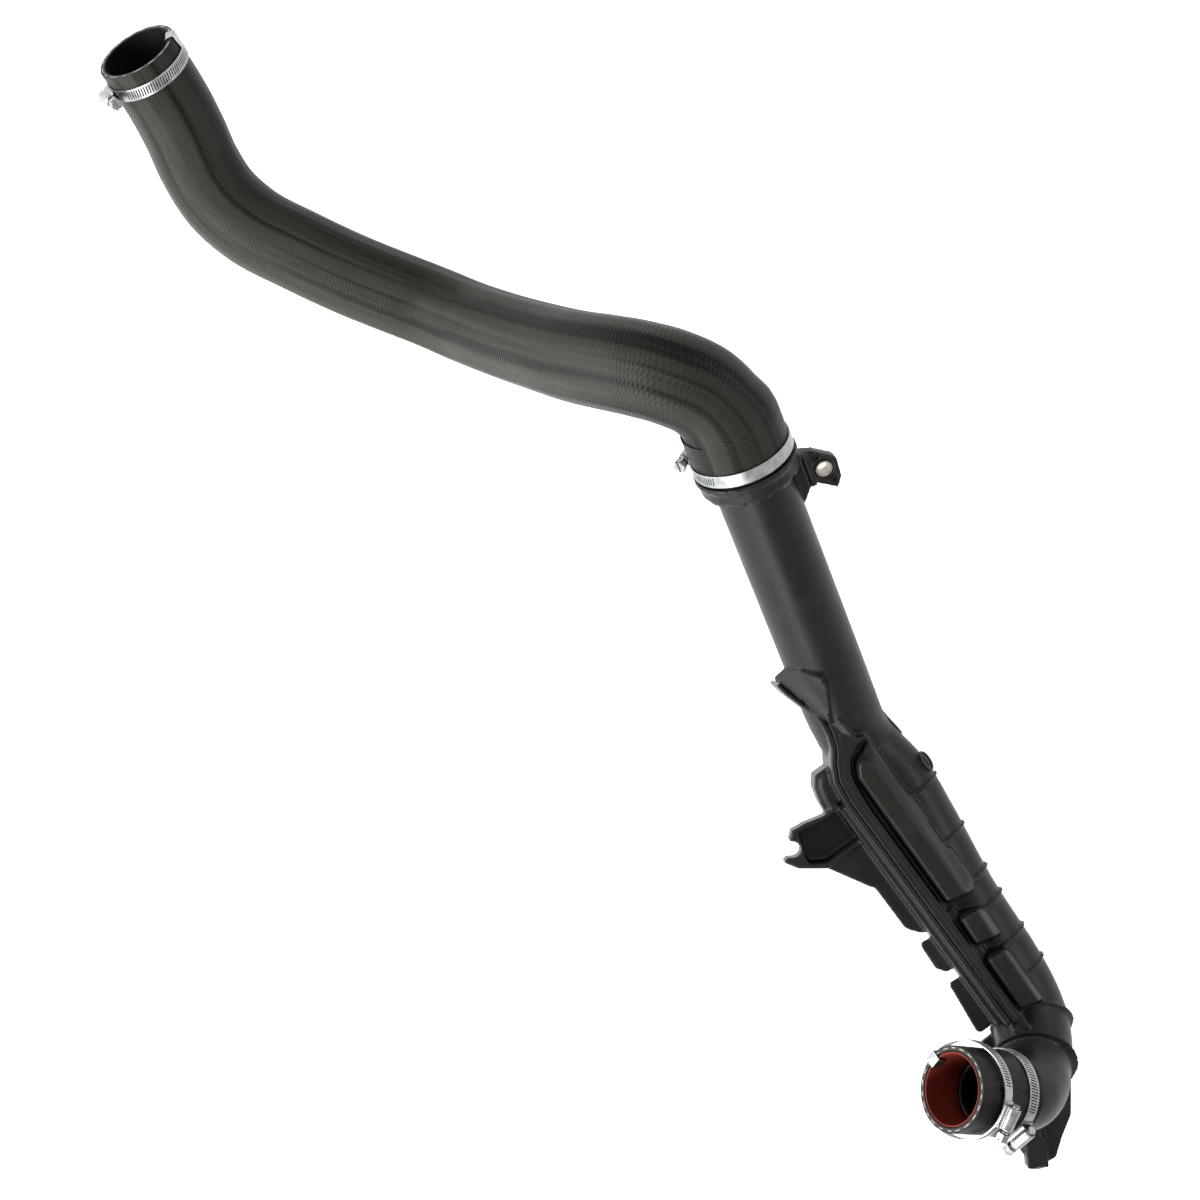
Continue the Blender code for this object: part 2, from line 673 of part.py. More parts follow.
def flange_parts():
    """The front half of the welded flange with its ledge, and the tent that joins it to the pipe."""
    frame = duct_frame()
    outer = offset_line(SEAM, FLANGE_THICKNESS)
    wall = prism("flange", [*SEAM, *reversed(outer)], FLANGE_BOTTOM, FLANGE_TOP, frame)
    end = SEAM[-1][0]
    ledge_outline = [*SEAM[4:], (end, LEDGE_WIDTH), (LEDGE_CORNER, LEDGE_WIDTH), *ARCH, ARCH_FOOT]
    ledge = prism("ledge", ledge_outline, FLANGE_TOP - LEDGE_DEPTH, FLANGE_TOP - LEDGE_DROP, frame)
    tent = hull("tent", TENT_CORNERS, frame)
    brace = hull("brace", BRACE_CORNERS, frame)
    block = prism("end_block", END_BLOCK_OUTLINE, END_BLOCK_BOTTOM, FLANGE_TOP - END_BLOCK_DROP, frame)
    return [wall, ledge, tent, brace, block]


def chamber_parts():
    """Three resonance chambers that stand on the duct, with pads on the far side of the first."""
    frame = duct_frame()
    foot = TUBE_OD / 2 + CHAMBER_FOOT
    slope = CHAMBER_END_SLOPE
    draft = CHAMBER_DRAFT
    parts = []
    for number, (start, end, near, crest, far) in enumerate(CHAMBERS):
        corners = [
            (start, near, CHAMBER_TOP - draft), (start + draft, crest, CHAMBER_TOP),
            (end, near - draft, CHAMBER_TOP - draft), (end + 2 * draft, crest - draft, CHAMBER_TOP),
            (start + slope, far, CHAMBER_SIDE_TOP), (end + slope, far - draft, CHAMBER_SIDE_TOP),
            (start - 2 * draft, near - 2 * draft, foot), (end + slope / 2, near - 3 * draft, foot),
            (start + slope - draft, far + draft, foot), (end + slope, far, foot)]
        if number == 0:
            corners.append(CHAMBER_PROW)
        parts.append(hull("chamber", corners, frame))
    start, end, near, crest, far = CHAMBERS[0]
    high = CHAMBER_TOP - PAD_DROP
    back = crest + PAD_SETBACK
    front = far + PAD_REACH
    for first, last in PADS:
        corners = []
        for place in (first, last):
            corners += [(place, back, high), (place, front, CHAMBER_SIDE_TOP), (place, front, foot),
                        (place, crest, foot)]
        parts.append(hull("pad", corners, frame))
    return parts


def chamber_hollows():
    """The space in each chamber, open to the airway below it."""
    frame = duct_frame()
    wall = TUBE_WALL
    floor = TUBE_OD / 2 + HOLLOW_FLOOR
    top = CHAMBER_TOP - wall
    hollows = []
    for start, end, near, crest, far in CHAMBERS:
        first = start + wall
        last = end - wall
        eased = first + CHAMBER_END_SLOPE
        beside = near + wall
        across = far - wall
        shelf = CHAMBER_SIDE_TOP - wall
        corners = [
            (first, beside, top), (last, beside, top), (first, crest - wall / 2, top),
            (last, crest - wall, top), (eased, across, shelf), (last, across, shelf),
            (eased, beside, floor), (last, beside, floor), (eased, across, floor), (last, across, floor)]
        hollows.append(hull("hollow", corners, frame))
    return hollows


def duct_middle(place):
    """The point of the duct's middle line at a place along the duct's X."""
    route = [duct_frame().inverted() @ point for point in duct_tube_route()]
    for before, after in zip(route, route[1:]):
        if before.x <= place <= after.x:
            return before.lerp(after, (place - before.x) / (after.x - before.x))
    raise ValueError("the place is beyond the duct")


def rib_parts():
    """Thin ribs round the far side of the duct."""
    frame = duct_frame()
    upright = Matrix(((0, 0, 1, 0), (1, 0, 0, 0), (0, 1, 0, 0), (0, 0, 0, 1)))
    outer = TUBE_OD / 2 + RIB_HEIGHT
    inner = inside_wall()
    angles = [RIB_START + (RIB_END - RIB_START) * k / 8 for k in range(9)]
    parts = []
    for place in RIB_PLACES:
        outline = [(outer * math.cos(a), outer * math.sin(a)) for a in angles]
        outline += [(inner * math.cos(a), inner * math.sin(a)) for a in reversed(angles)]
        stand = frame @ Matrix.Translation(duct_middle(place)) @ upright
        parts.append(prism("rib", outline, -RIB_THICKNESS / 2, RIB_THICKNESS / 2, stand))
    return parts


def disc_parts():
    """Stiffening discs round the elbow."""
    half = DISC_THICKNESS / 2
    parts = []
    for centre, direction, radius in DISCS:
        stand = duct_frame() @ axis_frame(centre, direction, Vector((0, 0, 1)))
        parts.append(cylinder("disc", radius, -half, half, TUBE_SIDES, stand))
    return parts


def dial_part():
    """A plain round mould mark on the shoulder."""
    frame = duct_frame()
    outward = Vector((0, math.cos(DIAL_ELEVATION), math.sin(DIAL_ELEVATION)))
    centre = duct_middle(DIAL_PLACE) + outward * inside_wall()
    stand = frame @ axis_frame(centre, outward, Vector((1, 0, 0)))
    return cylinder("dial", DIAL_OD / 2, 0, TUBE_WALL / 2 + DIAL_HEIGHT, HOLE_SIDES, stand)


def web_part():
    """The thin web in the corner between the pipe and the shoulder."""
    return prism("web", WEB_OUTLINE, WEB_LEVEL, WEB_LEVEL + WEB_THICKNESS, duct_frame())


def lug_boss_frame():
    direction = LUG_BOSS_END - LUG_BOSS_START
    return duct_frame() @ axis_frame(LUG_BOSS_START, direction, Vector((0, 0, 1)))


def lug_parts():
    """The plate under the elbow, with a lying boss for a bolt."""
    frame = duct_frame()
    length = (LUG_BOSS_END - LUG_BOSS_START).length
    plate = prism("lug", LUG_OUTLINE, LUG_LEVEL, LUG_LEVEL + LUG_THICKNESS, frame)
    boss = cylinder("lug_boss", LUG_BOSS_OD / 2, 0, length, HOLE_SIDES, lug_boss_frame())
    web = hull("lug_web", LUG_WEB_CORNERS, frame)
    foot = prism("foot", FOOT_OUTLINE, FOOT_BOTTOM, FOOT_TOP, frame)
    return [plate, boss, web, foot]


def cut_bush_hole(target, frame, low, high):
    mould(target, cylinder("hole", BUSH_OD / 2 + GAP, low, high, HOLE_SIDES, frame), "DIFFERENCE")


def make_bush(name, frame, low, high, material):
    ring = turned_ring(name, BUSH_OD / 2 - BUSH_WALL, BUSH_OD / 2, low, high, HOLE_SIDES, frame)
    return finish(ring, material)


def make_front_shell(material):
    """The pipe, the duct, the elbow and everything moulded on them."""
    stations = tube_stations(TUBE_OD / 2, SPIGOT_OD / 2, elbow_spigot_radius(), 0.0)
    shell = swept_solid("front_shell", stations, TUBE_SIDES)
    union(shell, [web_part(), *collar_parts(), *ear_parts(), *flange_parts(), *chamber_parts(),
                  *rib_parts(), *disc_parts(), dial_part(), *lug_parts()])
    mould(shell, seam_side("rear_side", -GAP / 2), "DIFFERENCE")
    mould(shell, swept_solid("airway", bore_stations(CUT_MARGIN), AIRWAY_SIDES), "DIFFERENCE")
    for hollow in chamber_hollows():
        mould(shell, hollow, "DIFFERENCE")
    ear_hub = ear_frame() @ Matrix.Translation((EAR_HOLE.x, EAR_HOLE.y, 0))
    cut_bush_hole(shell, ear_hub, -CUT_MARGIN, CUT_MARGIN)
    length = (LUG_BOSS_END - LUG_BOSS_START).length
    cut_bush_hole(shell, lug_boss_frame(), length / 2, length + CUT_MARGIN)
    return finish(shell, material)


def fork_slot():
    """The slot that the fork bracket pushes over a stud with."""
    frame = duct_frame() @ Matrix.Translation((FORK_SLOT_MOUTH.x, FORK_SLOT_MOUTH.y, 0))
    frame = frame @ Matrix.Rotation(FORK_SLOT_DIRECTION, 4, "Z")
    half = FORK_SLOT_WIDTH / 2
    straight = FORK_SLOT_DEPTH - half
    angles = [math.pi / 2 - math.pi * k / 8 for k in range(9)]
    outline = [(straight + half * math.cos(a), half * math.sin(a)) for a in angles]
    outline += [(-CUT_MARGIN, -half), (-CUT_MARGIN, half)]
    return prism("fork_slot", outline, 0.0, BRACKET_TOP + CUT_MARGIN, frame)


def bracket_parts():
    """The fork bracket: a tray with a raised edge, and a gusset beside it."""
    frame = duct_frame()
    low = BRACKET_TOP - BRACKET_HEIGHT
    tray = prism("bracket", BRACKET_OUTLINE, low, BRACKET_TOP, frame)
    pocket = prism("tray_pocket", TRAY_POCKET, low + BRACKET_FLOOR, BRACKET_TOP + CUT_MARGIN, frame)
    combine(tray, pocket, "DIFFERENCE")
    tall = BRACKET_TOP - GUSSET_DROP
    flat = TAB_LEVEL + TAB_THICKNESS
    corners = [(x, y, low) for x, y in GUSSET_OUTLINE]
    corners += [(x, y, tall) for x, y in GUSSET_OUTLINE[:2]]
    corners += [(x, y, flat) for x, y in GUSSET_OUTLINE[2:]]
    gusset = hull("gusset", corners, frame)
    return [tray, gusset]


def make_rear_shell(material):
    """The cover that is welded on the front shell, with its tabs and its fork bracket."""
    frame = duct_frame()
    start = SEAM[-2][0]
    end = SEAM[-1][0]
    inner = offset_line(SEAM, -FLANGE_THICKNESS)
    shell = prism("rear_shell", [*SEAM, *reversed(inner)], FLANGE_BOTTOM, FLANGE_TOP, frame)
    last = end - REAR_OVERLAP
    wall = prism("rear_wall", [(start, -OVERLAP), (last, -OVERLAP), (last, -REAR_WALL_WIDTH),
                               (start, -REAR_WALL_WIDTH)], REAR_WALL_BOTTOM, REAR_WALL_TOP, frame)
    tabs = []
    for outline in TABS:
        closed = [(outline[0][0], -REAR_OVERLAP), *outline, (outline[-1][0], -REAR_OVERLAP)]
        tabs.append(prism("tab", closed, TAB_LEVEL, TAB_LEVEL + TAB_THICKNESS, frame))
    bump = prism("bump", BUMP_OUTLINE, BUMP_BOTTOM, BUMP_TOP, frame)
    stations = tube_stations(TUBE_OD / 2, SPIGOT_OD / 2, elbow_spigot_radius(), 0.0)
    half_tube = swept_solid("half_tube", stations, TUBE_SIDES)
    union(shell, [wall, *tabs, bump, *bracket_parts(), half_tube])
    mould(shell, seam_side("rear_side", GAP / 2), "INTERSECT")
    mould(shell, swept_solid("airway", bore_stations(CUT_MARGIN), AIRWAY_SIDES), "DIFFERENCE")
    mould(shell, fork_slot(), "DIFFERENCE")
    return finish(shell, material)


def hose_radius(part):
    """The upper hose's outer radius from its cuff (0) to its mouth (1)."""
    swell = math.exp(-((part - HOSE_BEND_PLACE) / HOSE_BEND_SPREAD) ** 2)
    body = HOSE_OD_BODY + (HOSE_OD_BEND - HOSE_OD_BODY) * swell
    taper = max(0.0, (part - HOSE_TAPER_START) / (1.0 - HOSE_TAPER_START))
    return (body + (HOSE_OD_MOUTH - body) * taper) / 2


def hose_stations(shrink):
    """Stations of the upper hose, drawn in by a shrinkage such as its wall."""
    frame = pipe_frame()
    up = frame.to_3x3() @ Vector((0, 0, 1))
    clamp = frame.translation
    cuff_radius = SPIGOT_OD / 2 + BEAD_HEIGHT + GAP + HOSE_WALL
    cuff_top = SPIGOT_LENGTH - HOSE_SETBACK + CUFF_MARGIN
    through = [clamp + point for point in HOSE_ROUTE]
    last = through[-1]
    outward = (last - through[-2]).normalized()
    route = smooth_route([clamp, clamp + up * cuff_top, *through])
    bends = route_stations(route, hose_radius, up, outward)
    stations = [(clamp - up * HOSE_SETBACK, up, cuff_radius)]
    for centre, direction, radius in bends:
        cuff_part = max(0.0, 1.0 - (centre - bends[0][0]).length / CUFF_TAPER)
        stations.append((centre, direction, radius + (cuff_radius - radius) * cuff_part))
    stations.append((last, outward, hose_radius(1.0)))
    return [(centre, direction, radius - shrink) for centre, direction, radius in stations]


def mouth_frame():
    """Z runs out of the upper hose's mouth and the origin is the mouth's middle."""
    centre, direction, radius = hose_stations(0.0)[-1]
    return axis_frame(centre, direction, Vector((0, 0, 1)))


def make_connector(rubber, lining):
    frame = connector_frame()
    outer = CONNECTOR_OD / 2
    inner = outer - CONNECTOR_WALL
    low = CONNECTOR_OVERLAP
    high = low + CONNECTOR_LENGTH
    hose = turned_ring("connector_hose", inner, outer, low, high, CONNECTOR_SIDES, frame)
    lined = inner - GAP
    liner = turned_ring("connector_liner", lined - LINER_WALL, lined, low, high, CONNECTOR_SIDES, frame)
    finish(hose, rubber)
    finish(liner, lining)


def make_clamp(prefix, frame, inner_radius, metal, turn, flip=1):
    """A worm-drive clamp round the frame's Z with its housing at an angle: band, housing, screw."""
    half = BAND_WIDTH / 2
    outer = inner_radius + BAND_THICKNESS
    band = turned_ring(prefix + "_band", inner_radius, outer, -half, half, BAND_SIDES, frame)
    finish(band, metal)
    seat = frame @ Matrix.Rotation(turn, 4, "Z") @ Matrix.Translation((outer, 0, 0))
    along = seat @ Matrix.Rotation(math.radians(-90 * flip), 4, "X")
    wide = HOUSING_WIDTH / 2
    shoulder = HOUSING_HEIGHT - HOUSING_SHOULDER
    crown = HOUSING_HEIGHT - HOUSING_CROWN_DROP
    outline = [(-HOUSING_SINK, -wide), (shoulder, -wide), (crown, -HOUSING_CROWN_WIDTH), (HOUSING_HEIGHT, 0),
               (crown, HOUSING_CROWN_WIDTH), (shoulder, wide), (-HOUSING_SINK, wide)]
    length = HOUSING_LENGTH / 2
    housing = prism(prefix + "_housing", outline, -length, length, along)
    combine(housing, cylinder("seat", outer + GAP, -length, length, BAND_SIDES, frame), "DIFFERENCE")
    screw_axis = along @ Matrix.Translation((SCREW_LIFT, 0, 0))
    bore = cylinder("bore", SCREW_OD / 2 + GAP, -2 * length, 2 * length, HOLE_SIDES, screw_axis)
    combine(housing, bore, "DIFFERENCE")
    finish(housing, metal)
    screw = cylinder(prefix + "_screw", SCREW_OD / 2, -length, length + GAP * 2, HOLE_SIDES, screw_axis)
    head_radius = SCREW_HEAD_FLATS / 2 / math.cos(math.pi / 6)
    head = cylinder("head", head_radius, length + GAP, length + GAP + SCREW_HEAD_LENGTH, 6, screw_axis)
    combine(screw, head, "UNION")
    finish(screw, metal)


def make_clip(name, frame, wall_outer, wall_inner, foot, metal):
    """The spring clip that holds a clamp: over the rim at the frame's origin, one leg on each side."""
    half = CLIP_WIDTH / 2
    out = wall_outer + GAP
    into = math.sqrt((wall_inner - 2 * GAP) ** 2 - half ** 2)
    sheet = CLIP_THICKNESS
    outline = [(out, -foot), (out + sheet, -foot), (out + sheet, GAP + sheet), (into - sheet, GAP + sheet),
               (into - sheet, -CLIP_REACH), (into, -CLIP_REACH), (into, GAP), (out, GAP)]
    upright = Matrix.Rotation(math.radians(90), 4, "X")
    clip = prism(name, outline, -half, half, frame @ upright)
    finish(clip, metal)


def main():
    reset_scene()
    rubber = make_material("hose_rubber", (0.030, 0.029, 0.028), 0.55)
    plastic = make_material("duct_plastic", (0.022, 0.022, 0.021), 0.48)
    lining = make_material("red_lining", (0.240, 0.035, 0.022), 0.60)
    zinc = make_material("zinc_steel", (0.720, 0.730, 0.740), 0.32, 1.0)
    steel = make_material("bush_steel", (0.600, 0.590, 0.560), 0.38, 1.0)

    hose = swept_tube("upper_hose", hose_stations(0.0), hose_stations(HOSE_WALL), HOSE_SIDES)
    finish(hose, rubber)
    make_front_shell(plastic)
    make_rear_shell(plastic)
    half = EAR_THICKNESS / 2
    hub = ear_frame() @ Matrix.Translation((EAR_HOLE.x, EAR_HOLE.y, 0))
    make_bush("ear_bush", hub, -half - EAR_BUSH_PROUD, half, steel)
    length = (LUG_BOSS_END - LUG_BOSS_START).length
    make_bush("lug_bush", lug_boss_frame(), length / 2 + GAP, length + LUG_BUSH_PROUD, steel)
    make_connector(rubber, lining)

    cuff = SPIGOT_OD / 2 + BEAD_HEIGHT + 2 * GAP + HOSE_WALL
    make_clamp("mid_clamp", pipe_frame(), cuff, zinc, MID_CLAMP_TURN)

    mouth = mouth_frame()
    mouth_radius = HOSE_OD_MOUTH / 2
    end_frame = mouth @ Matrix.Translation((0, 0, -END_CLAMP_PLACE))
    make_clamp("end_clamp", end_frame, mouth_radius + GAP, zinc, END_CLAMP_TURN)
    end_foot = END_CLAMP_PLACE - BAND_WIDTH / 2 - GAP
    make_clip("end_clip", mouth @ Matrix.Rotation(END_CLIP_TURN, 4, "Z"), mouth_radius,
              mouth_radius - HOSE_WALL, end_foot, zinc)

    rim = connector_frame() @ Matrix.Translation((0, 0, CONNECTOR_OVERLAP + CONNECTOR_LENGTH))
    inner_frame = rim @ Matrix.Translation((0, 0, -INNER_CLAMP_PLACE))
    make_clamp("inner_clamp", inner_frame, CONNECTOR_OD / 2 + GAP, zinc, INNER_CLAMP_TURN, -1)
    loose_frame = rim @ Matrix.Translation((-LOOSE_CLAMP_DROP, 0, -LOOSE_CLAMP_PLACE))
    loose_frame = loose_frame @ Matrix.Rotation(LOOSE_CLAMP_TILT, 4, "Y")
    make_clamp("loose_clamp", loose_frame, (CONNECTOR_OD + LOOSE_CLAMP_SLACK) / 2, zinc, LOOSE_CLAMP_TURN, -1)
    make_clip("loose_clip", rim @ Matrix.Rotation(LOOSE_CLIP_TURN, 4, "Z"), CONNECTOR_OD / 2,
              CONNECTOR_OD / 2 - CONNECTOR_WALL - GAP - LINER_WALL, LOOSE_CLIP_FOOT, zinc)


main()
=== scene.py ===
# %% [markdown]
# # Charge air hose
#
# A charge air hose carries compressed air from a cooler to an engine. This one is a thick moulded
# rubber hose, clamped on a black plastic pipe. The pipe runs into a duct that is welded from two
# moulded shells, and the duct's elbow carries a short lined connector hose. The solids already hold
# the shapes and places, so this lesson dresses them: it gives them materials, and it replaces the
# simplest ones with finer meshes in the same places.

# %% Load the solids
import math
from itertools import product

import bmesh
import bpy
import numpy as np
from mathutils import Matrix, Vector


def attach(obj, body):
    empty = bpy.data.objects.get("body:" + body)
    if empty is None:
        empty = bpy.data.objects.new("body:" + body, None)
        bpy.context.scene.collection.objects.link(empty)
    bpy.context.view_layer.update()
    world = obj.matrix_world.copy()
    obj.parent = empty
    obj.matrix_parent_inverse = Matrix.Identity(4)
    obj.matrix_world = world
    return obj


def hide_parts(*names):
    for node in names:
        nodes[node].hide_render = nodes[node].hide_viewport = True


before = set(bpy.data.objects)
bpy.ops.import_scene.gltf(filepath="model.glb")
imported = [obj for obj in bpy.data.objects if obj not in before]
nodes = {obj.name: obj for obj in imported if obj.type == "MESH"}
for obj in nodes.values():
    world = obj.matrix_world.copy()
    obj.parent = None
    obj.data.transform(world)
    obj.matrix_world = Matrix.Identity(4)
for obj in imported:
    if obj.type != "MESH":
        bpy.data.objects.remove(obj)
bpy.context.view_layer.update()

# %% [markdown]
# ## The camera and the light
#
# The part lies on a pale table and is seen from straight above, so the camera looks down the Z axis
# from 1.65 m. A long lens would flatten the sloping pipe, and this moderate one keeps the way that
# the raised middle looks a little larger than the ends.

# %% Camera over the table
CAMERA_PLACE = (0.0044, 0.0051, 1.6501)
TABLE_DISTANCE = 1.65
VIEW_WIDTH = 0.876
SENSOR_WIDTH = 36.0

lens = bpy.data.cameras.new("view")
lens.sensor_width = SENSOR_WIDTH
lens.lens = SENSOR_WIDTH * TABLE_DISTANCE / VIEW_WIDTH
lens.clip_start = 0.05
lens.clip_end = 50.0
camera = bpy.data.objects.new("view", lens)
camera.location = CAMERA_PLACE
bpy.context.collection.objects.link(camera)
bpy.context.scene.camera = camera
bpy.context.scene.view_settings.view_transform = "Standard"
print("lens", round(lens.lens, 1), "mm")

# %% [markdown]
# Black rubber and black plastic show their shape mostly by what they mirror, so the lamps are large
# soft panels. Two of them stand low at the left and in front and draw the long highlights on the
# hose and the pipe, and dimmer ones stand at the right and hang over the table.

# %% Soft panels
# Each row is a name, a place, a target, a width, a height and watts.
PANELS = [
    ("left_panel", (-1.30, -0.10, 0.62), (0.0, 0.0, 0.06), 1.5, 0.6, 44.0),
    ("front_panel", (-0.45, -1.35, 0.60), (0.0, 0.0, 0.06), 1.4, 0.5, 20.0),
    ("right_panel", (1.30, 0.30, 0.80), (0.1, 0.0, 0.05), 1.2, 0.5, 8.0),
    ("top_panel", (0.1, 0.95, 1.9), (0.0, 0.05, 0.0), 1.2, 0.5, 5.0),
]
for name, place, target, width, height, watts in PANELS:
    lamp = bpy.data.lights.new(name, "AREA")
    lamp.shape = "RECTANGLE"
    lamp.size = width
    lamp.size_y = height
    lamp.energy = watts
    panel = bpy.data.objects.new(name, lamp)
    panel.location = place
    panel.rotation_euler = (Vector(target) - Vector(place)).to_track_quat("-Z", "Y").to_euler()
    bpy.context.collection.objects.link(panel)
print("lamps", [row[0] for row in PANELS])

# %% [markdown]
# The world, the table and the finishes are all made of nodes. These helpers add a node, and take a
# plain value or another node's output for each of its inputs.

# %% Node helpers
def feed(tree, socket, value):
    """Sets a socket, or links it when the value is another socket."""
    if isinstance(value, bpy.types.NodeSocket):
        tree.links.new(value, socket)
    else:
        socket.default_value = value


def add_node(tree, kind, inputs=None, **settings):
    """A shader node with its settings, and its inputs by name or number."""
    node = tree.nodes.new("ShaderNode" + kind)
    for label, value in settings.items():
        setattr(node, label, value)
    for label, value in (inputs or {}).items():
        feed(tree, node.inputs[label], value)
    return node


def calc(tree, operation, *values, clamp=False):
    return add_node(tree, "Math", dict(enumerate(values)), operation=operation, use_clamp=clamp).outputs[0]


def times(tree, first, second):
    return calc(tree, "MULTIPLY", first, second)


def plus(tree, first, second):
    return calc(tree, "ADD", first, second)


# %% [markdown]
# The world is plain white for rays that come straight from the camera or from a mirror-like surface,
# and dimmer for the light that it throws on the part. The table is pale in the same way: part of
# what the camera sees is even white, and the rest still takes the part's soft shadow.

# %% World and table
WORLD_LIGHT = 0.16
TABLE_TONE = 0.80
TABLE_GLOW = 0.80


def white_to_the_eye(tree):
    """1 for rays from the camera, a mirror or through glass, and 0 for the others."""
    rays = add_node(tree, "LightPath").outputs
    seen = calc(tree, "ADD", rays["Is Camera Ray"], rays["Is Glossy Ray"], clamp=True)
    return calc(tree, "ADD", seen, rays["Is Transmission Ray"], clamp=True)


world = bpy.data.worlds.new("studio")
world.use_nodes = True
bpy.context.scene.world = world
sky = world.node_tree
dim = sky.nodes["Background"]
dim.inputs["Color"].default_value = (1.0, 1.0, 1.0, 1.0)
dim.inputs["Strength"].default_value = WORLD_LIGHT
white = add_node(sky, "Background", {"Color": (1.0, 1.0, 1.0, 1.0), "Strength": 1.0})
choice = add_node(sky, "MixShader", {0: white_to_the_eye(sky), 1: dim.outputs[0], 2: white.outputs[0]})
sky.links.new(choice.outputs[0], sky.nodes["World Output"].inputs["Surface"])

table_paint = bpy.data.materials.new("table_paint")
table_paint.use_nodes = True
paint = table_paint.node_tree
matt = paint.nodes["Principled BSDF"]
matt.inputs["Base Color"].default_value = (TABLE_TONE, TABLE_TONE, TABLE_TONE, 1.0)
matt.inputs["Roughness"].default_value = 0.9
glow = add_node(paint, "Emission", {"Strength": TABLE_GLOW})
glowing = add_node(paint, "AddShader", {0: matt.outputs[0], 1: glow.outputs[0]})
choice = add_node(paint, "MixShader", {0: white_to_the_eye(paint), 1: matt.outputs[0], 2: glowing.outputs[0]})
paint.links.new(choice.outputs[0], paint.nodes["Material Output"].inputs["Surface"])

bpy.ops.mesh.primitive_plane_add(size=12.0, location=(0.0, 0.0, 0.0))
table = bpy.context.object
table.name = "table"
table.data.materials.append(table_paint)
print("table is", tuple(table.dimensions))

# %% [markdown]
# ## Small helpers
#
# The part is built in frames: a frame is a matrix whose origin and axes fit one piece, such as the
# pipe or a clamp. They repeat the values that the solids were built with, so a finer piece lands
# exactly where its solid is.

# %% Frames
DUCT_ORIGIN = Vector((0.1806, -0.1382, 0.0001))
DUCT_HEADING = math.radians(-53.7)
BEND_CORNER = Vector((-0.0271, 0.0293, 0.027))
PIPE_LENGTH = 0.261
PIPE_TILT = math.radians(31.9)
PIPE_HEADING = math.radians(114.3)
ELBOW_END = Vector((0.2230, -0.0297, 0.0911))
CONNECTOR_DIRECTION = Vector((-0.612, -0.529, 0.588)).normalized()


def axis_frame(origin, direction, towards):
    """A frame whose Z is the direction and whose X leans towards another one."""
    z = direction.normalized()
    x = (towards - z * towards.dot(z)).normalized()
    result = Matrix((x, z.cross(x), z)).transposed().to_4x4()
    result.translation = origin
    return result


def shifted(x, y, z):
    return Matrix.Translation((x, y, z))


def turned(angle, axis="Z"):
    return Matrix.Rotation(angle, 4, axis)


duct = Matrix.Translation(DUCT_ORIGIN) @ turned(DUCT_HEADING)
pipe_direction = Vector((math.cos(PIPE_HEADING) * math.cos(PIPE_TILT),
                         math.sin(PIPE_HEADING) * math.cos(PIPE_TILT), math.sin(PIPE_TILT)))
pipe_right = Vector((math.sin(PIPE_HEADING), -math.cos(PIPE_HEADING), 0.0))
pipe = axis_frame(duct @ BEND_CORNER + pipe_direction * PIPE_LENGTH, pipe_direction, pipe_right)
connector = axis_frame(duct @ ELBOW_END, duct.to_3x3() @ CONNECTOR_DIRECTION, Vector((0, 0, 1)))
print("pipe clamp at", tuple(round(v, 4) for v in pipe.translation))

# %% [markdown]
# Meshes are written with bmesh and moved into place as they are made, so every object sits at the
# origin. Each new piece rides on the part, takes its materials, and hides the solid that it stands for.

# %% Mesh helpers
SMOOTH_ANGLE = math.radians(35)


def add_piece(name, bm, place=None):
    """A mesh object from a bmesh, with its faces pointing out."""
    bmesh.ops.remove_doubles(bm, verts=bm.verts, dist=1e-6)
    bmesh.ops.recalc_face_normals(bm, faces=bm.faces)
    mesh = bpy.data.meshes.new(name)
    bm.to_mesh(mesh)
    bm.free()
    if place is not None:
        mesh.transform(place)
    item = bpy.data.objects.new(name, mesh)
    bpy.context.collection.objects.link(item)
    mesh.shade_smooth()
    mesh.set_sharp_from_angle(angle=SMOOTH_ANGLE)
    return item


def dress(item, materials, stands_for=()):
    """Gives a new piece its materials and its place on the part."""
    for material in materials:
        item.data.materials.append(material)
    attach(item, "root")
    if stands_for:
        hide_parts(*stands_for)
    print(item.name, len(item.data.polygons), "faces")


def apply_modifiers(item):
    """Keeps the mesh that the modifiers make, and drops them."""
    graph = bpy.context.evaluated_depsgraph_get()
    item.data = bpy.data.meshes.new_from_object(item.evaluated_get(graph))
    item.modifiers.clear()


def cut(target, tool):
    """Takes one object out of another and uses it up."""
    modifier = target.modifiers.new("cut", "BOOLEAN")
    modifier.solver = "EXACT"
    modifier.operation = "DIFFERENCE"
    modifier.object = tool
    apply_modifiers(target)
    bpy.data.objects.remove(tool, do_unlink=True)
    target.data.set_sharp_from_angle(angle=SMOOTH_ANGLE)


def add_rows(bm, rows):
    """Turns rows of places into rows of points."""
    return [[bm.verts.new(place) for place in row] for row in rows]


def join_rows(bm, rows, closed=False):
    """Quads between rows of points, all the way round when the rows are closed."""
    for row, following in zip(rows, rows[1:]):
        first, second = ([*row, row[0]], [*following, following[0]]) if closed else (row, following)
        for corners in zip(first, first[1:], second[1:], second):
            bm.faces.new(corners)


def sheet_mesh(rows):
    """An open sheet through rows of places."""
    bm = bmesh.new()
    join_rows(bm, add_rows(bm, rows))
    return bm


def capped_mesh(rings):
    """A closed solid through rings of places."""
    bm = bmesh.new()
    rings = add_rows(bm, rings)
    join_rows(bm, rings, closed=True)
    bm.faces.new(rings[0])
    bm.faces.new(rings[-1])
    return bm


# %% [markdown]
# ## Finishes
#
# Several finishes share the same small effects, so each effect is a node group with named sockets.
# A group only works out masks, heights and normals. The shader itself stays in the material.

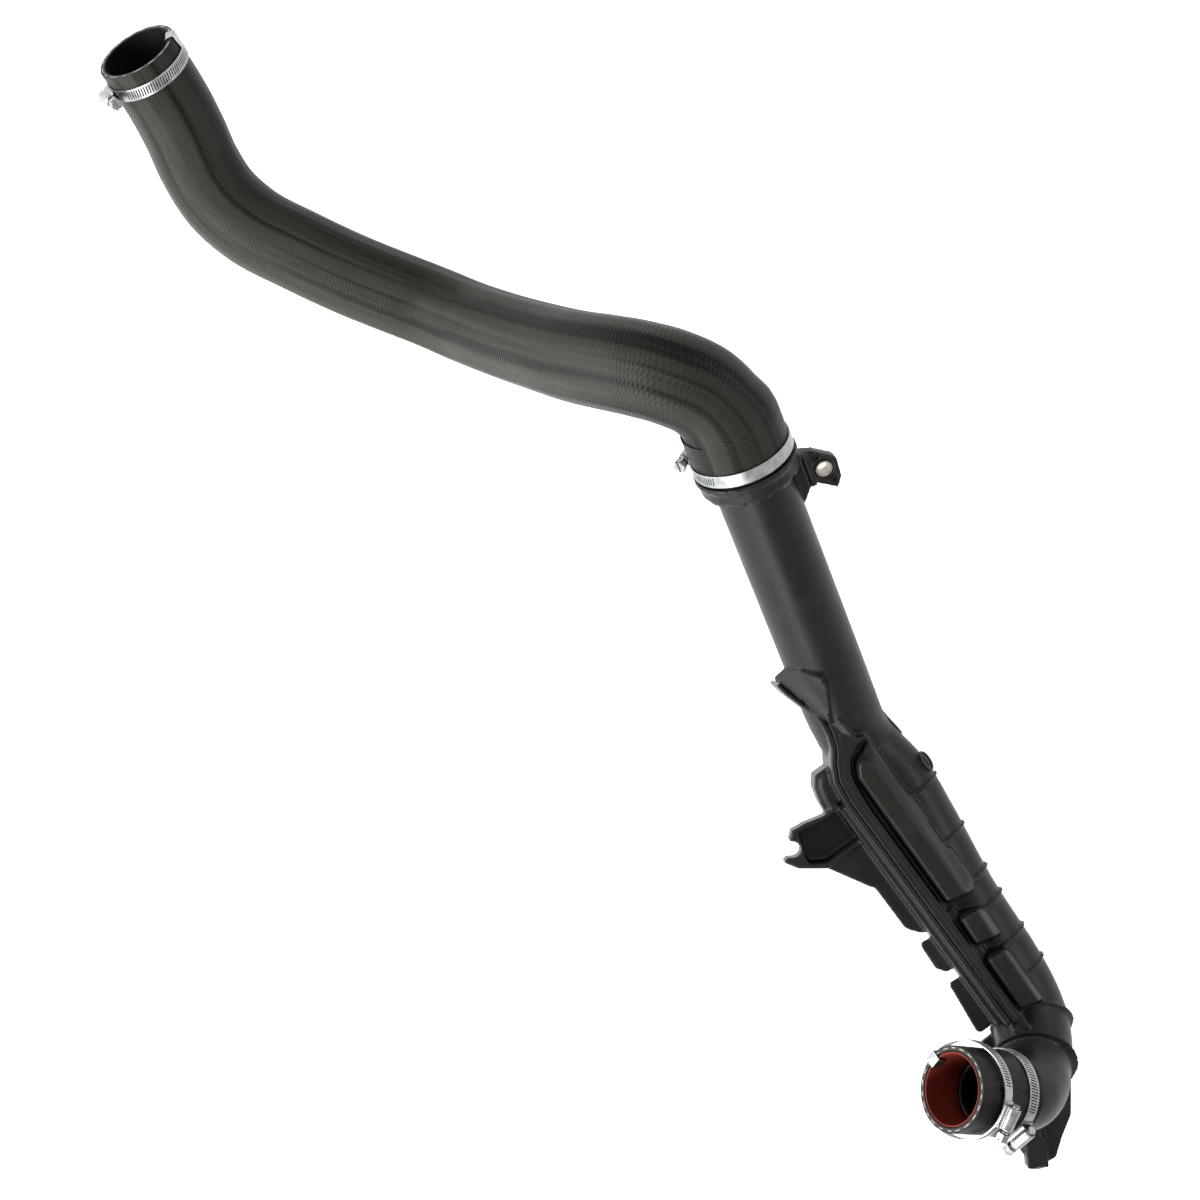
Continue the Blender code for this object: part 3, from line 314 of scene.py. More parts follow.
# %% Effect helpers
def new_group(name, inputs, outputs):
    """A shader node group. An input without a value is a vector, and so is an output called Normal."""
    group = bpy.data.node_groups.new(name, "ShaderNodeTree")
    for label, value in inputs.items():
        kind = "NodeSocketVector" if value is None else "NodeSocketFloat"
        socket = group.interface.new_socket(label, in_out="INPUT", socket_type=kind)
        if value is not None:
            socket.default_value = value
    for label in outputs:
        kind = "NodeSocketVector" if label == "Normal" else "NodeSocketFloat"
        group.interface.new_socket(label, in_out="OUTPUT", socket_type=kind)
    return group, group.nodes.new("NodeGroupInput").outputs, group.nodes.new("NodeGroupOutput").inputs


def stretch(tree, vector, scale):
    """A vector with each axis scaled on its own."""
    return add_node(tree, "VectorMath", {0: vector, 1: scale}, operation="MULTIPLY").outputs[0]


def cloud(tree, vector, scale, detail=3.0, roughness=0.5):
    """Smooth noise from 0 to 1."""
    inputs = {"Vector": vector, "Scale": scale, "Detail": detail, "Roughness": roughness}
    return add_node(tree, "TexNoise", inputs).outputs["Fac"]


def ramp(tree, value, low, high, start=0.0, end=1.0):
    """A value moved from one range to another and held inside it."""
    inputs = {"Value": value, "From Min": low, "From Max": high, "To Min": start, "To Max": end}
    return add_node(tree, "MapRange", inputs, interpolation_type="SMOOTHSTEP").outputs["Result"]


def blend_colours(tree, mask, first, second):
    """Two colours mixed by a mask. Each is a socket, or red, green and blue."""
    first, second = ((*colour, 1.0) if isinstance(colour, tuple) else colour for colour in (first, second))
    return add_node(tree, "Mix", {0: mask, 6: first, 7: second}, data_type="RGBA").outputs[2]


# %% [markdown]
# Moulded plastic and rubber have a fine grain from the mould's surface, and their gloss is a little
# cloudy. Two sizes of noise in the part's own space do both, and no UV map is needed.

# %% Group: mould grain
mould_grain, come, go = new_group("mould grain", {"Place": None, "Grain Scale": 900.0, "Cloud Scale": 35.0},
                                  ["Height", "Cloud"])
fine = cloud(mould_grain, come["Place"], come["Grain Scale"], 2.0, 0.6)
wide = cloud(mould_grain, come["Place"], come["Cloud Scale"], 4.0, 0.55)
feed(mould_grain, go["Height"], plus(mould_grain, fine, times(mould_grain, wide, 0.35)))
feed(mould_grain, go["Cloud"], ramp(mould_grain, wide, 0.25, 0.75))
print("group", mould_grain.name)

# %% [markdown]
# Moulded edges are never sharp. The Bevel node bends the shading over an edge as a small radius would,
# and where it bends most there is an edge, which is where a part rubs and turns paler.

# %% Group: soft edge
soft_edge, come, go = new_group("soft edge", {"Radius": 0.0006}, ["Normal", "Rub"])
bent = add_node(soft_edge, "Bevel", {"Radius": come["Radius"]}, samples=4).outputs[0]
plain = add_node(soft_edge, "NewGeometry").outputs["Normal"]
alike = add_node(soft_edge, "VectorMath", {0: bent, 1: plain}, operation="DOT_PRODUCT").outputs["Value"]
feed(soft_edge, go["Normal"], bent)
feed(soft_edge, go["Rub"], ramp(soft_edge, alike, 0.995, 0.80))
print("group", soft_edge.name)

# %% [markdown]
# Dust settles where a surface looks up, in thin uneven patches. The mask is noise that is let through
# by how far the surface's true normal points up.

# %% Group: settled dust
settled_dust, come, go = new_group("settled dust", {"Place": None, "Amount": 0.3}, ["Dust"])
normal = add_node(settled_dust, "NewGeometry").outputs["True Normal"]
facing = add_node(settled_dust, "SeparateXYZ", {0: normal}).outputs["Z"]
upward = ramp(settled_dust, facing, 0.1, 0.9)
patches = ramp(settled_dust, cloud(settled_dust, come["Place"], 60.0, 6.0, 0.65), 0.45, 0.75)
specks = ramp(settled_dust, cloud(settled_dust, come["Place"], 1500.0, 1.0), 0.66, 0.74)
either = calc(settled_dust, "MAXIMUM", times(settled_dust, patches, 0.35), specks)
feed(settled_dust, go["Dust"], times(settled_dust, times(settled_dust, either, upward), come["Amount"]))
print("group", settled_dust.name)

# %% [markdown]
# The rubber hoses are wound in cloth tape while they cure, and the tape leaves its weave in the rubber:
# fine threads across the hose, broken into short stitches. The group also makes long pale bands round
# the hose, which are painted sheen for the soft lengthwise reflections on the satin rubber. The group
# works in the hose's own coordinates: once round is 1, and along it is metres.

# %% Group: cloth wrap
FULL_TURN = 2 * math.pi
SLANT_TURNS = 9

cloth_wrap, come, go = new_group(
    "cloth wrap", {"Wrap": None, "Threads per Metre": 430.0, "Stitches Round": 44.0, "Bands Round": 5.0},
    ["Height", "Thread", "Sheen Band"])
split = add_node(cloth_wrap, "SeparateXYZ", {0: come["Wrap"]}).outputs
around, along = split["X"], split["Y"]
angle = times(cloth_wrap, around, FULL_TURN)
swaying = cloud(cloth_wrap, stretch(cloth_wrap, come["Wrap"], (4.0, 14.0, 0.0)), 1.0)
column = plus(cloth_wrap, times(cloth_wrap, around, come["Stitches Round"]), times(cloth_wrap, swaying, 2.2))
offset = times(cloth_wrap, calc(cloth_wrap, "MODULO", calc(cloth_wrap, "FLOOR", column), 2.0), math.pi)
turns = times(cloth_wrap, times(cloth_wrap, along, come["Threads per Metre"]), FULL_TURN)
slant = times(cloth_wrap, around, FULL_TURN * SLANT_TURNS)
thread = calc(cloth_wrap, "SINE", plus(cloth_wrap, plus(cloth_wrap, turns, offset), slant))
thread = calc(cloth_wrap, "MULTIPLY_ADD", thread, 0.5, 0.5)
ring = add_node(cloth_wrap, "CombineXYZ", {0: calc(cloth_wrap, "COSINE", angle), 1: calc(cloth_wrap, "SINE", angle),
                                           2: times(cloth_wrap, along, 0.45)}).outputs[0]
# Painted sheen: pale bands at some angles round the hose, drifting slowly along it, stand in for its lengthwise
# reflections.
wide_sheen_band = cloud(cloth_wrap, ring, come["Bands Round"], 1.5, 0.40)
narrow_sheen_band = cloud(cloth_wrap, ring, times(cloth_wrap, come["Bands Round"], 2.7), 1.0, 0.40)
both_sheen_bands = plus(cloth_wrap, times(cloth_wrap, wide_sheen_band, 0.60), times(cloth_wrap, narrow_sheen_band, 0.40))
patches = cloud(cloth_wrap, stretch(cloth_wrap, come["Wrap"], (24.0, 16.0, 0.0)), 1.0)
patches = ramp(cloth_wrap, patches, 0.35, 0.65, 0.35, 1.0)
feed(cloth_wrap, go["Thread"], times(cloth_wrap, thread, patches))
feed(cloth_wrap, go["Height"], thread)
feed(cloth_wrap, go["Sheen Band"], ramp(cloth_wrap, both_sheen_bands, 0.43, 0.58))
print("group", cloth_wrap.name)

# %% [markdown]
# Clamp steel is rolled to a bright finish and then zinc plated. Rolling leaves faint lines along the
# strip, and the plating clouds the shine a little.

# %% Group: rolled metal
rolled_metal, come, go = new_group("rolled metal", {"Place": None, "Line Scale": 700.0}, ["Height", "Cloud"])
lines = cloud(rolled_metal, stretch(rolled_metal, come["Place"], (1.0, 1.0, 0.2)), come["Line Scale"], 3.0, 0.7)
blotch = cloud(rolled_metal, come["Place"], 140.0, 4.0, 0.6)
feed(rolled_metal, go["Height"], lines)
feed(rolled_metal, go["Cloud"], ramp(rolled_metal, blotch, 0.3, 0.7))
print("group", rolled_metal.name)

# %% [markdown]
# Every finish links a colour, a roughness and a bump to one shader. Its other values stay the same all
# over. The black pieces have a low specular level, as oily rubber and nylon look darker than paint.

# %% Material helpers
SOFT_SHINE = 0.17
HOSE_SHINE = 0.10
INNER_SHINE = 0.08
METAL_SHINE = 0.5
DUST_COLOUR = (0.20, 0.19, 0.175)


def new_material(name, metallic=0.0, specular=SOFT_SHINE):
    """A Principled material with its tree, its shader and the part's own coordinates."""
    material = bpy.data.materials.new(name)
    material.use_nodes = True
    tree = material.node_tree
    shader = tree.nodes["Principled BSDF"]
    shader.inputs["Metallic"].default_value = metallic
    shader.inputs["Specular IOR Level"].default_value = specular
    return material, tree, shader, add_node(tree, "TexCoord").outputs["Object"]


def use_group(tree, group, **values):
    """Places a group: an underscore in a name stands for a space."""
    inputs = {label.replace("_", " "): value for label, value in values.items()}
    node = tree.nodes.new("ShaderNodeGroup")
    node.node_tree = group
    for label, value in inputs.items():
        feed(tree, node.inputs[label], value)
    return node.outputs


def use_grain(tree, place, grain_scale, cloud_scale):
    return use_group(tree, mould_grain, Place=place, Grain_Scale=grain_scale, Cloud_Scale=cloud_scale)


def link_surface(tree, shader, colour, roughness, height, depth, strength, normal=None):
    """Links a colour and a roughness to the shader, and a bump of a depth in metres."""
    inputs = {"Strength": strength, "Distance": depth, "Height": height}
    if normal is not None:
        inputs["Normal"] = normal
    bump = add_node(tree, "Bump", inputs).outputs[0]
    for label, value in (("Base Color", colour), ("Roughness", roughness), ("Normal", bump)):
        tree.links.new(value, shader.inputs[label])


# %% [markdown]
# The duct and the pipe are glass-filled nylon, nearly black and satin. Its highlights spread widely,
# so the roughness stays high, with cloudy patches, and the rubbed edges are a touch paler.

# %% Material: duct plastic
duct_plastic, tree, shader, place = new_material("duct_plastic")
grain = use_grain(tree, place, 1100.0, 38.0)
edge = use_group(tree, soft_edge, Radius=0.0008)
dust = use_group(tree, settled_dust, Place=place, Amount=0.10)
body = blend_colours(tree, grain["Cloud"], (0.0060, 0.0054, 0.0042), (0.0105, 0.0094, 0.0074))
rubbed = blend_colours(tree, times(tree, edge["Rub"], 0.35), body, (0.045, 0.042, 0.037))
dusty = blend_colours(tree, dust["Dust"], rubbed, DUST_COLOUR)
rough = calc(tree, "MULTIPLY_ADD", grain["Cloud"], 0.10, 0.34)
link_surface(tree, shader, dusty, rough, grain["Height"], 0.00006, 0.6, edge["Normal"])
print("material", duct_plastic.name)

# %% [markdown]
# The rubber is softer in tone: a dark warm grey with a trace of the threads. Its pale bands along it are
# painted sheen, and the threads are painted paler inside them.

# %% Material: hose rubber
def wrap_coordinates(tree):
    return add_node(tree, "UVMap", uv_map="wrap").outputs[0]


def rubber_material(name, dark, pale, threads, stitches, bands, depth):
    material, tree, shader, place = new_material(name, specular=HOSE_SHINE)
    wrap = use_group(tree, cloth_wrap, Wrap=wrap_coordinates(tree), Threads_per_Metre=threads,
                     Stitches_Round=stitches, Bands_Round=bands)
    grain = use_grain(tree, place, 800.0, 25.0)
    dust = use_group(tree, settled_dust, Place=place, Amount=0.05)
    # Painted sheen: the pale colour in the bands is a painted reflection, and the threads are painted paler inside
    # the bands.
    sheen_banded = blend_colours(tree, wrap["Sheen Band"], dark, pale)
    tone = times(tree, wrap["Thread"], calc(tree, "MULTIPLY_ADD", wrap["Sheen Band"], 0.40, 0.15))
    threaded = blend_colours(tree, tone, sheen_banded, tuple(2.4 * c for c in pale))
    dusty = blend_colours(tree, dust["Dust"], threaded, DUST_COLOUR)
    rough = plus(tree, calc(tree, "MULTIPLY_ADD", grain["Cloud"], 0.08, 0.36), times(tree, wrap["Sheen Band"], 0.08))
    height = plus(tree, wrap["Height"], times(tree, grain["Height"], 0.3))
    link_surface(tree, shader, dusty, rough, height, depth, 0.8)
    return material


hose_rubber = rubber_material("hose_rubber", (0.0035, 0.0033, 0.0024), (0.0230, 0.0222, 0.0178),
                              430.0, 44.0, 2.6, 0.00020)
connector_rubber = rubber_material("connector_rubber", (0.009, 0.0085, 0.0080), (0.018, 0.017, 0.016),
                                   600.0, 40.0, 2.0, 0.00010)
print("materials", hose_rubber.name, connector_rubber.name)

# %% [markdown]
# A hose that is cut to length shows its layers: black rubber and the white ends of the yarn between
# them, in a broken ring round the cut. The mask is a row of short dashes with uneven lengths.

# %% Material: cut end
def cut_end_material(name, plies, ply_place, dash_share):
    """Dashes round a cut. The second coordinate runs from 0 outside to -1 inside, and ply_place is a share."""
    material, tree, shader, place = new_material(name)
    split = add_node(tree, "SeparateXYZ", {0: wrap_coordinates(tree)}).outputs
    shuffle = cloud(tree, stretch(tree, place, (90.0, 90.0, 90.0)), 1.0, 2.0)
    step = calc(tree, "FRACT", plus(tree, times(tree, split["X"], plies), shuffle))
    dash = ramp(tree, step, dash_share + 0.06, dash_share)
    near = calc(tree, "ABSOLUTE", plus(tree, split["Y"], ply_place))
    line = ramp(tree, plus(tree, near, times(tree, shuffle, 0.10)), 0.20, 0.13)
    white = times(tree, dash, line)
    grain = use_grain(tree, place, 1400.0, 120.0)
    black = blend_colours(tree, grain["Cloud"], (0.016, 0.0155, 0.0145), (0.032, 0.031, 0.029))
    link_surface(tree, shader, blend_colours(tree, white, black, (0.42, 0.40, 0.36)),
                 calc(tree, "MULTIPLY_ADD", white, 0.3, 0.5), grain["Height"], 0.00015, 0.7)
    return material


hose_cut = cut_end_material("hose_cut", 17.0, 0.45, 0.42)
connector_cut = cut_end_material("connector_cut", 22.0, 0.40, 0.45)
print("materials", hose_cut.name, connector_cut.name)

# %% [markdown]
# Inside, the upper hose is smooth black rubber, and the connector has a brick-red lining that stands
# the heat and the oil in the air.

# %% Materials: linings
inner_rubber, tree, shader, place = new_material("inner_rubber", specular=INNER_SHINE)
grain = use_grain(tree, place, 700.0, 45.0)
black = blend_colours(tree, grain["Cloud"], (0.0035, 0.0033, 0.0030), (0.0070, 0.0066, 0.0060))
rough = calc(tree, "MULTIPLY_ADD", grain["Cloud"], 0.12, 0.52)
link_surface(tree, shader, black, rough, grain["Height"], 0.0001, 0.5)

red_lining, tree, shader, place = new_material("red_lining")
grain = use_grain(tree, place, 900.0, 60.0)
dust = use_group(tree, settled_dust, Place=place, Amount=0.12)
lining = blend_colours(tree, grain["Cloud"], (0.125, 0.017, 0.011), (0.195, 0.029, 0.018))
dusty = blend_colours(tree, dust["Dust"], lining, (0.26, 0.12, 0.09))
rough = calc(tree, "MULTIPLY_ADD", grain["Cloud"], 0.15, 0.48)
link_surface(tree, shader, dusty, rough, grain["Height"], 0.0001, 0.6)
print("materials", inner_rubber.name, red_lining.name)

# %% [markdown]
# The clamps and the bushes share one recipe. It has cloudy patches of duller metal, and edges that
# are rubbed bright.

# %% Materials: metals
def metal_material(name, dull, bright, rough_low, rough_high):
    material, tree, shader, place = new_material(name, metallic=1.0, specular=METAL_SHINE)
    roll = use_group(tree, rolled_metal, Place=place, Line_Scale=650.0)
    edge = use_group(tree, soft_edge, Radius=0.0003)
    tone = blend_colours(tree, roll["Cloud"], dull, bright)
    rubbed = blend_colours(tree, times(tree, edge["Rub"], 0.5), tone, (0.46, 0.47, 0.46))
    rough = calc(tree, "MULTIPLY_ADD", roll["Cloud"], rough_high - rough_low, rough_low)
    link_surface(tree, shader, rubbed, rough, roll["Height"], 0.00003, 0.5, edge["Normal"])
    return material


zinc_steel = metal_material("zinc_steel", (0.20, 0.21, 0.205), (0.31, 0.325, 0.315), 0.28, 0.40)
bush_steel = metal_material("bush_steel", (0.22, 0.20, 0.17), (0.34, 0.31, 0.27), 0.30, 0.42)
print("materials", zinc_steel.name, bush_steel.name)

# %% [markdown]
# ## The moulded duct
#
# A mould leaves every edge a little round, and a moulded pipe is truly round, but the solids have
# sharp edges and flat facets. A Bevel modifier stumbles over so many crossing edges. So each shell is
# copied and given an even new skin with Remesh, and smoothing that skin rounds its edges. Then the
# points near the pipe are pulled to its true radius, and Decimate takes out those that flat places
# don't need.

# %% Smooth curves
CURVE_STEPS = 12


def curve_slope(before, point, after):
    """The slope of a smooth curve at a point between two others, weighted by their distances."""
    near = (point - before).length
    far = (after - point).length
    return ((point - before) * (far / near) + (after - point) * (near / far)) / (near + far)


def smooth_curve(points, steps=CURVE_STEPS):
    """Close points on a curve through all but the first and last point, which only steer it."""
    curve = [points[1].copy()]
    for before, start, end, after in zip(points, points[1:], points[2:], points[3:]):
        length = (end - start).length
        leaving = curve_slope(before, start, end) * length
        arriving = curve_slope(start, end, after) * length
        for step in range(1, steps + 1):
            t = step / steps
            curve.append((2 * t ** 3 - 3 * t ** 2 + 1) * start + (t ** 3 - 2 * t ** 2 + t) * leaving
                         + (3 * t ** 2 - 2 * t ** 3) * end + (t ** 3 - t ** 2) * arriving)
    return curve


# %% The tube's middle line
# Each row is a point on the middle line and the tube's outer radius there.
TUBE_LINE = [
    ((0.1014, 0.0933, 0.1584), 0.0270), ((0.1735, -0.0665, 0.0493), 0.0268), ((0.1865, -0.0911, 0.0336), 0.0258),
    ((0.1925, -0.0990, 0.0299), 0.0255), ((0.2019, -0.1082, 0.0279), 0.0256), ((0.2164, -0.1243, 0.0273), 0.0264),
    ((0.2327, -0.1528, 0.0273), 0.0270), ((0.2629, -0.2082, 0.0273), 0.0270), ((0.2967, -0.2611, 0.0274), 0.0270),
    ((0.3034, -0.2731, 0.0283), 0.0270), ((0.3096, -0.2880, 0.0326), 0.0270), ((0.3119, -0.2967, 0.0366), 0.0270),
    ((0.3124, -0.3051, 0.0419), 0.0270), ((0.3105, -0.3191, 0.0533), 0.0270), ((0.3079, -0.3267, 0.0614), 0.0270),
    ((0.3053, -0.3322, 0.0703), 0.0270), ((0.3026, -0.3344, 0.0756), 0.0270), ((0.2986, -0.3359, 0.0817), 0.0270),
    ((0.2943, -0.3362, 0.0863), 0.0270), ((0.2887, -0.3355, 0.0912), 0.0270),
]
LEG_STEPS = 60
BEND_STEPS = 6
LEAD_IN = 0.020


def tube_samples():
    """Points, directions and radii close together along the tube, straight on the pipe and curved after it."""
    points = [Vector(point) for point, radius in TUBE_LINE]
    radii = [radius for point, radius in TUBE_LINE]
    down = (points[1] - points[0]).normalized()
    lead = points[1] - down * LEAD_IN
    line = [points[0].lerp(lead, k / LEG_STEPS) for k in range(LEG_STEPS)]
    widths = [radii[0]] * LEG_STEPS
    beyond = points[-1] + (points[-1] - points[-2])
    line += smooth_curve([lead - down * LEAD_IN, lead, *points[1:], beyond], BEND_STEPS)
    widths.append(radii[0])
    for first, second in zip([radii[0], *radii[1:]], radii[1:]):
        widths += [first + (second - first) * k / BEND_STEPS for k in range(1, BEND_STEPS + 1)]
    ahead = line[1:] + [beyond]
    directions = [(b - a).normalized() for a, b in zip(line, ahead)]
    return np.array(line), np.array(directions), np.array(widths)


samples, headings, sample_radii = tube_samples()
print("tube line has", len(samples), "samples")

# %% Skin, round and thin out a shell
SKIN_VOXEL = 0.0012
ROUNDING_STEPS = 4
NEAR_TUBE = 0.0011
PULL_FADE = 0.0004
POINTS_AT_ONCE = 8000
MOST_TRIANGLES = 185000
CHAMBERS_LOW = (-0.036, 0.0105, 0.052)
CHAMBERS_HIGH = (0.190, 0.046, math.inf)


def mesh_points(mesh):
    """The mesh's points, in rows of x, y and z."""
    flat = np.empty(len(mesh.vertices) * 3)
    mesh.vertices.foreach_get("co", flat)
    return flat.reshape(-1, 3)


def make_round(mesh):
    """Pulls the points that lie close to the tube's surface to its true radius."""
    points = mesh_points(mesh)
    for start in range(0, len(points), POINTS_AT_ONCE):
        some = points[start:start + POINTS_AT_ONCE]
        nearest = np.argmin(((some[:, None, :] - samples[None, :, :]) ** 2).sum(axis=2), axis=1)
        away = some - samples[nearest]
        ahead = headings[nearest]
        away -= (away * ahead).sum(axis=1)[:, None] * ahead
        reach = np.linalg.norm(away, axis=1)
        gap = reach - sample_radii[nearest]
        pull = np.clip((NEAR_TUBE - np.abs(gap)) / PULL_FADE, 0.0, 1.0)
        some -= away / np.maximum(reach, 1e-6)[:, None] * (gap * pull)[:, None]
    mesh.vertices.foreach_set("co", points.ravel())
    mesh.update()


def add_rounding(shell, steps):
    rounding = shell.modifiers.new("rounding", "SMOOTH")
    rounding.factor = 0.5
    rounding.iterations = steps
    return rounding


def soften_chambers(shell, steps):
    """Rounds the tops of the chambers more than the rest."""
    into = np.array(duct.inverted())
    points = mesh_points(shell.data) @ into[:3, :3].T + into[:3, 3]
    chosen = ((points > CHAMBERS_LOW) & (points < CHAMBERS_HIGH)).all(axis=1)
    group = shell.vertex_groups.new(name="chambers")
    group.add([int(index) for index in np.flatnonzero(chosen)], 1.0, "REPLACE")
    add_rounding(shell, steps).vertex_group = group.name
    apply_modifiers(shell)
    shell.vertex_groups.clear()


def mould_shell(name, node, forms, chamber_steps=0):
    """A copy of a shell, with more forms joined to it, as one rounded skin."""
    bm = bmesh.new()
    bm.from_mesh(nodes[node].data)
    for form in forms:
        joined = bpy.data.meshes.new("form")
        form.to_mesh(joined)
        form.free()
        bm.from_mesh(joined)
        bpy.data.meshes.remove(joined)
    shell = add_piece(name, bm)
    skin = shell.modifiers.new("skin", "REMESH")
    skin.mode = "VOXEL"
    skin.voxel_size = SKIN_VOXEL
    add_rounding(shell, ROUNDING_STEPS)
    apply_modifiers(shell)
    if chamber_steps:
        soften_chambers(shell, chamber_steps)
    make_round(shell.data)
    triangles = 2 * len(shell.data.polygons)
    if triangles > MOST_TRIANGLES:
        thin = shell.modifiers.new("thin", "DECIMATE")
        thin.ratio = MOST_TRIANGLES / triangles
        apply_modifiers(shell)
    shell.data.shade_smooth()
    shell.data.materials.clear()
    dress(shell, [duct_plastic], [node])


# %% [markdown]
# The solids keep the duct's forms plain. The real duct has a shallow floor between its ledge and the
# chambers, a full round nose on the first chamber, a folded web between the pipe and the seam's upper
# end, a squarer end on the lower lug and a raised step on the bump of the rear shell. Each is a convex
# block that overlaps the shell before the new skin goes round both.

# %% The two shells
def convex(corners, place=duct):
    """A convex form round corners in a frame, the duct's if no other is given."""
    bm = bmesh.new()
    bmesh.ops.convex_hull(bm, input=[bm.verts.new(corner) for corner in corners])
    bmesh.ops.transform(bm, matrix=place, verts=bm.verts)
    return bm


def block(low, high, low_level, high_level, place=duct):
    """A convex form between two outlines at two levels."""
    return convex([(x, y, low_level) for x, y in low] + [(x, y, high_level) for x, y in high], place)


LUG_START = Vector((0.2542, -0.0214, 0.0200))
LUG_END = Vector((0.2957, -0.0449, 0.0200))
LUG_BLOCK = 0.022
LUG_HALF = 0.0076
LUG_CORNER = 0.0026


def lug_corners():
    """Four corners that make the end of the lug's round boss square and leave its bolt hole free."""
    place = duct @ axis_frame(LUG_START, LUG_END - LUG_START, Vector((0, 0, 1)))
    length = (LUG_END - LUG_START).length
    forms = []
    for across in (-1, 1):
        for up in (-1, 1):
            corner = [(across * LUG_HALF, up * LUG_HALF), (across * LUG_HALF, up * LUG_CORNER),
                      (across * LUG_CORNER, up * LUG_HALF)]
            forms.append(block(corner, corner, length - LUG_BLOCK, length, place))
    return forms


ARCH_SPACE = [(-0.0030, 0.0090), (-0.0175, 0.0120), (-0.0250, 0.0165), (-0.0315, 0.0280), (-0.0330, 0.0370),
              (-0.0100, 0.0370), (-0.0100, 0.0180)]
LONG_FLOOR = [(-0.0130, 0.0060), (0.1000, 0.0060), (0.1000, 0.0165), (-0.0130, 0.0165)]
SHORT_FLOOR = [(0.0990, 0.0060), (0.1880, 0.0060), (0.1880, 0.0150), (0.0990, 0.0160)]
NOSE_FOOT = [(-0.0100, 0.0150), (-0.0200, 0.0165), (-0.0265, 0.0215), (-0.0300, 0.0290), (-0.0305, 0.0370),
             (-0.0100, 0.0380)]
NOSE_TOP = [(-0.0100, 0.0160), (-0.0165, 0.0175), (-0.0200, 0.0215), (-0.0195, 0.0260), (-0.0100, 0.0280)]
BUMP_FOOT = [(-0.0265, 0.0030), (-0.0265, -0.0068), (-0.0208, -0.0112), (-0.0100, -0.0138), (-0.0030, -0.0145),
             (-0.0030, 0.0010)]
BUMP_HEAD = [(-0.0250, 0.0010), (-0.0250, -0.0060), (-0.0200, -0.0098), (-0.0100, -0.0122), (-0.0045, -0.0128),
             (-0.0045, -0.0010)]
# Each row is an outline at the foot, one at the top, and their levels. The front forms end inside the
# wall, over the airway, which stays open.
FRONT_BLOCKS = [(ARCH_SPACE, ARCH_SPACE, 0.0530, 0.0610), (LONG_FLOOR, LONG_FLOOR, 0.0455, 0.0610),
                (SHORT_FLOOR, SHORT_FLOOR, 0.0500, 0.0590), (NOSE_FOOT, NOSE_TOP, 0.0555, 0.0725)]
REAR_BLOCKS = [(BUMP_FOOT, BUMP_HEAD, 0.0400, 0.0490)]
WEB_TOP = [(-0.1040, 0.0085, 0.0695), (-0.0800, 0.0140, 0.0700), (-0.0560, 0.0205, 0.0700),
           (-0.1060, 0.0173, 0.0820), (-0.1000, 0.0243, 0.0960), (-0.0870, 0.0348, 0.1000),
           (-0.0776, 0.0325, 0.0965), (-0.0618, 0.0250, 0.0835), (-0.0548, 0.0210, 0.0720)]
WEB_DEPTH = 0.004
CHAMBER_STEPS = 12

web = convex(WEB_TOP + [(x, y, z - WEB_DEPTH) for x, y, z in WEB_TOP])
front_forms = [*(block(*row) for row in FRONT_BLOCKS), web, *lug_corners()]
mould_shell("front_skin", "front_shell", front_forms, CHAMBER_STEPS)
mould_shell("rear_skin", "rear_shell", [block(*row) for row in REAR_BLOCKS])

# %% [markdown]
# On the shoulder sits a round mould insert. It is a raised ring round a flat disc, with one short bar.

# %% The mould mark
DIAL_PLACE = 0.0100
DIAL_ELEVATION = math.radians(27)
DIAL_LIFT = 0.0281
DIAL_RING = 0.0070
DIAL_BEAD = 0.0009
DIAL_BAR = [(0.0042, 0.0009, -0.0006), (0.0036, 0.0005, 0.0006)]


def dial_frame():
    inside_duct = [duct.inverted() @ Vector(point) for point in samples]
    middle = min(inside_duct, key=lambda point: abs(point.x - DIAL_PLACE))
    outward = Vector((0, math.cos(DIAL_ELEVATION), math.sin(DIAL_ELEVATION)))
    return duct @ axis_frame(middle + outward * DIAL_LIFT, outward, Vector((1, 0, 0)))


def dial_mesh(turns=64, sides=12):
    """A ring of round section, and a bar with sloping ends across its middle."""
    places = []
    for n in range(turns):
        out = Vector((math.cos(FULL_TURN * n / turns), math.sin(FULL_TURN * n / turns), 0))
        angles = [FULL_TURN * k / sides for k in range(sides)]
        places.append([out * (DIAL_RING + DIAL_BEAD * math.cos(angle)) + Vector((0, 0, DIAL_BEAD * math.sin(angle)))
                       for angle in angles])
    bm = bmesh.new()
    rings = add_rows(bm, places)
    join_rows(bm, [*rings, rings[0]], closed=True)
    bar = [bm.verts.new((end * x, side * y, z)) for x, y, z in DIAL_BAR for end in (-1, 1) for side in (-1, 1)]
    bmesh.ops.convex_hull(bm, input=bar)
    return bm


dress(add_piece("mould_mark", dial_mesh(), dial_frame()), [duct_plastic])

# %% The bushes
for name in ("ear_bush", "lug_bush"):
    nodes[name].data.materials.clear()
    nodes[name].data.materials.append(bush_steel)
print("steel on the bushes")

# %% [markdown]
# ## The upper hose
#
# The hose is a tube along a curve. A bevelled curve object would be quicker, but a mesh made ring by
# ring can change its radius, carry coordinates for the cloth marks, and have long shallow furrows
# that fade out under the clamps.

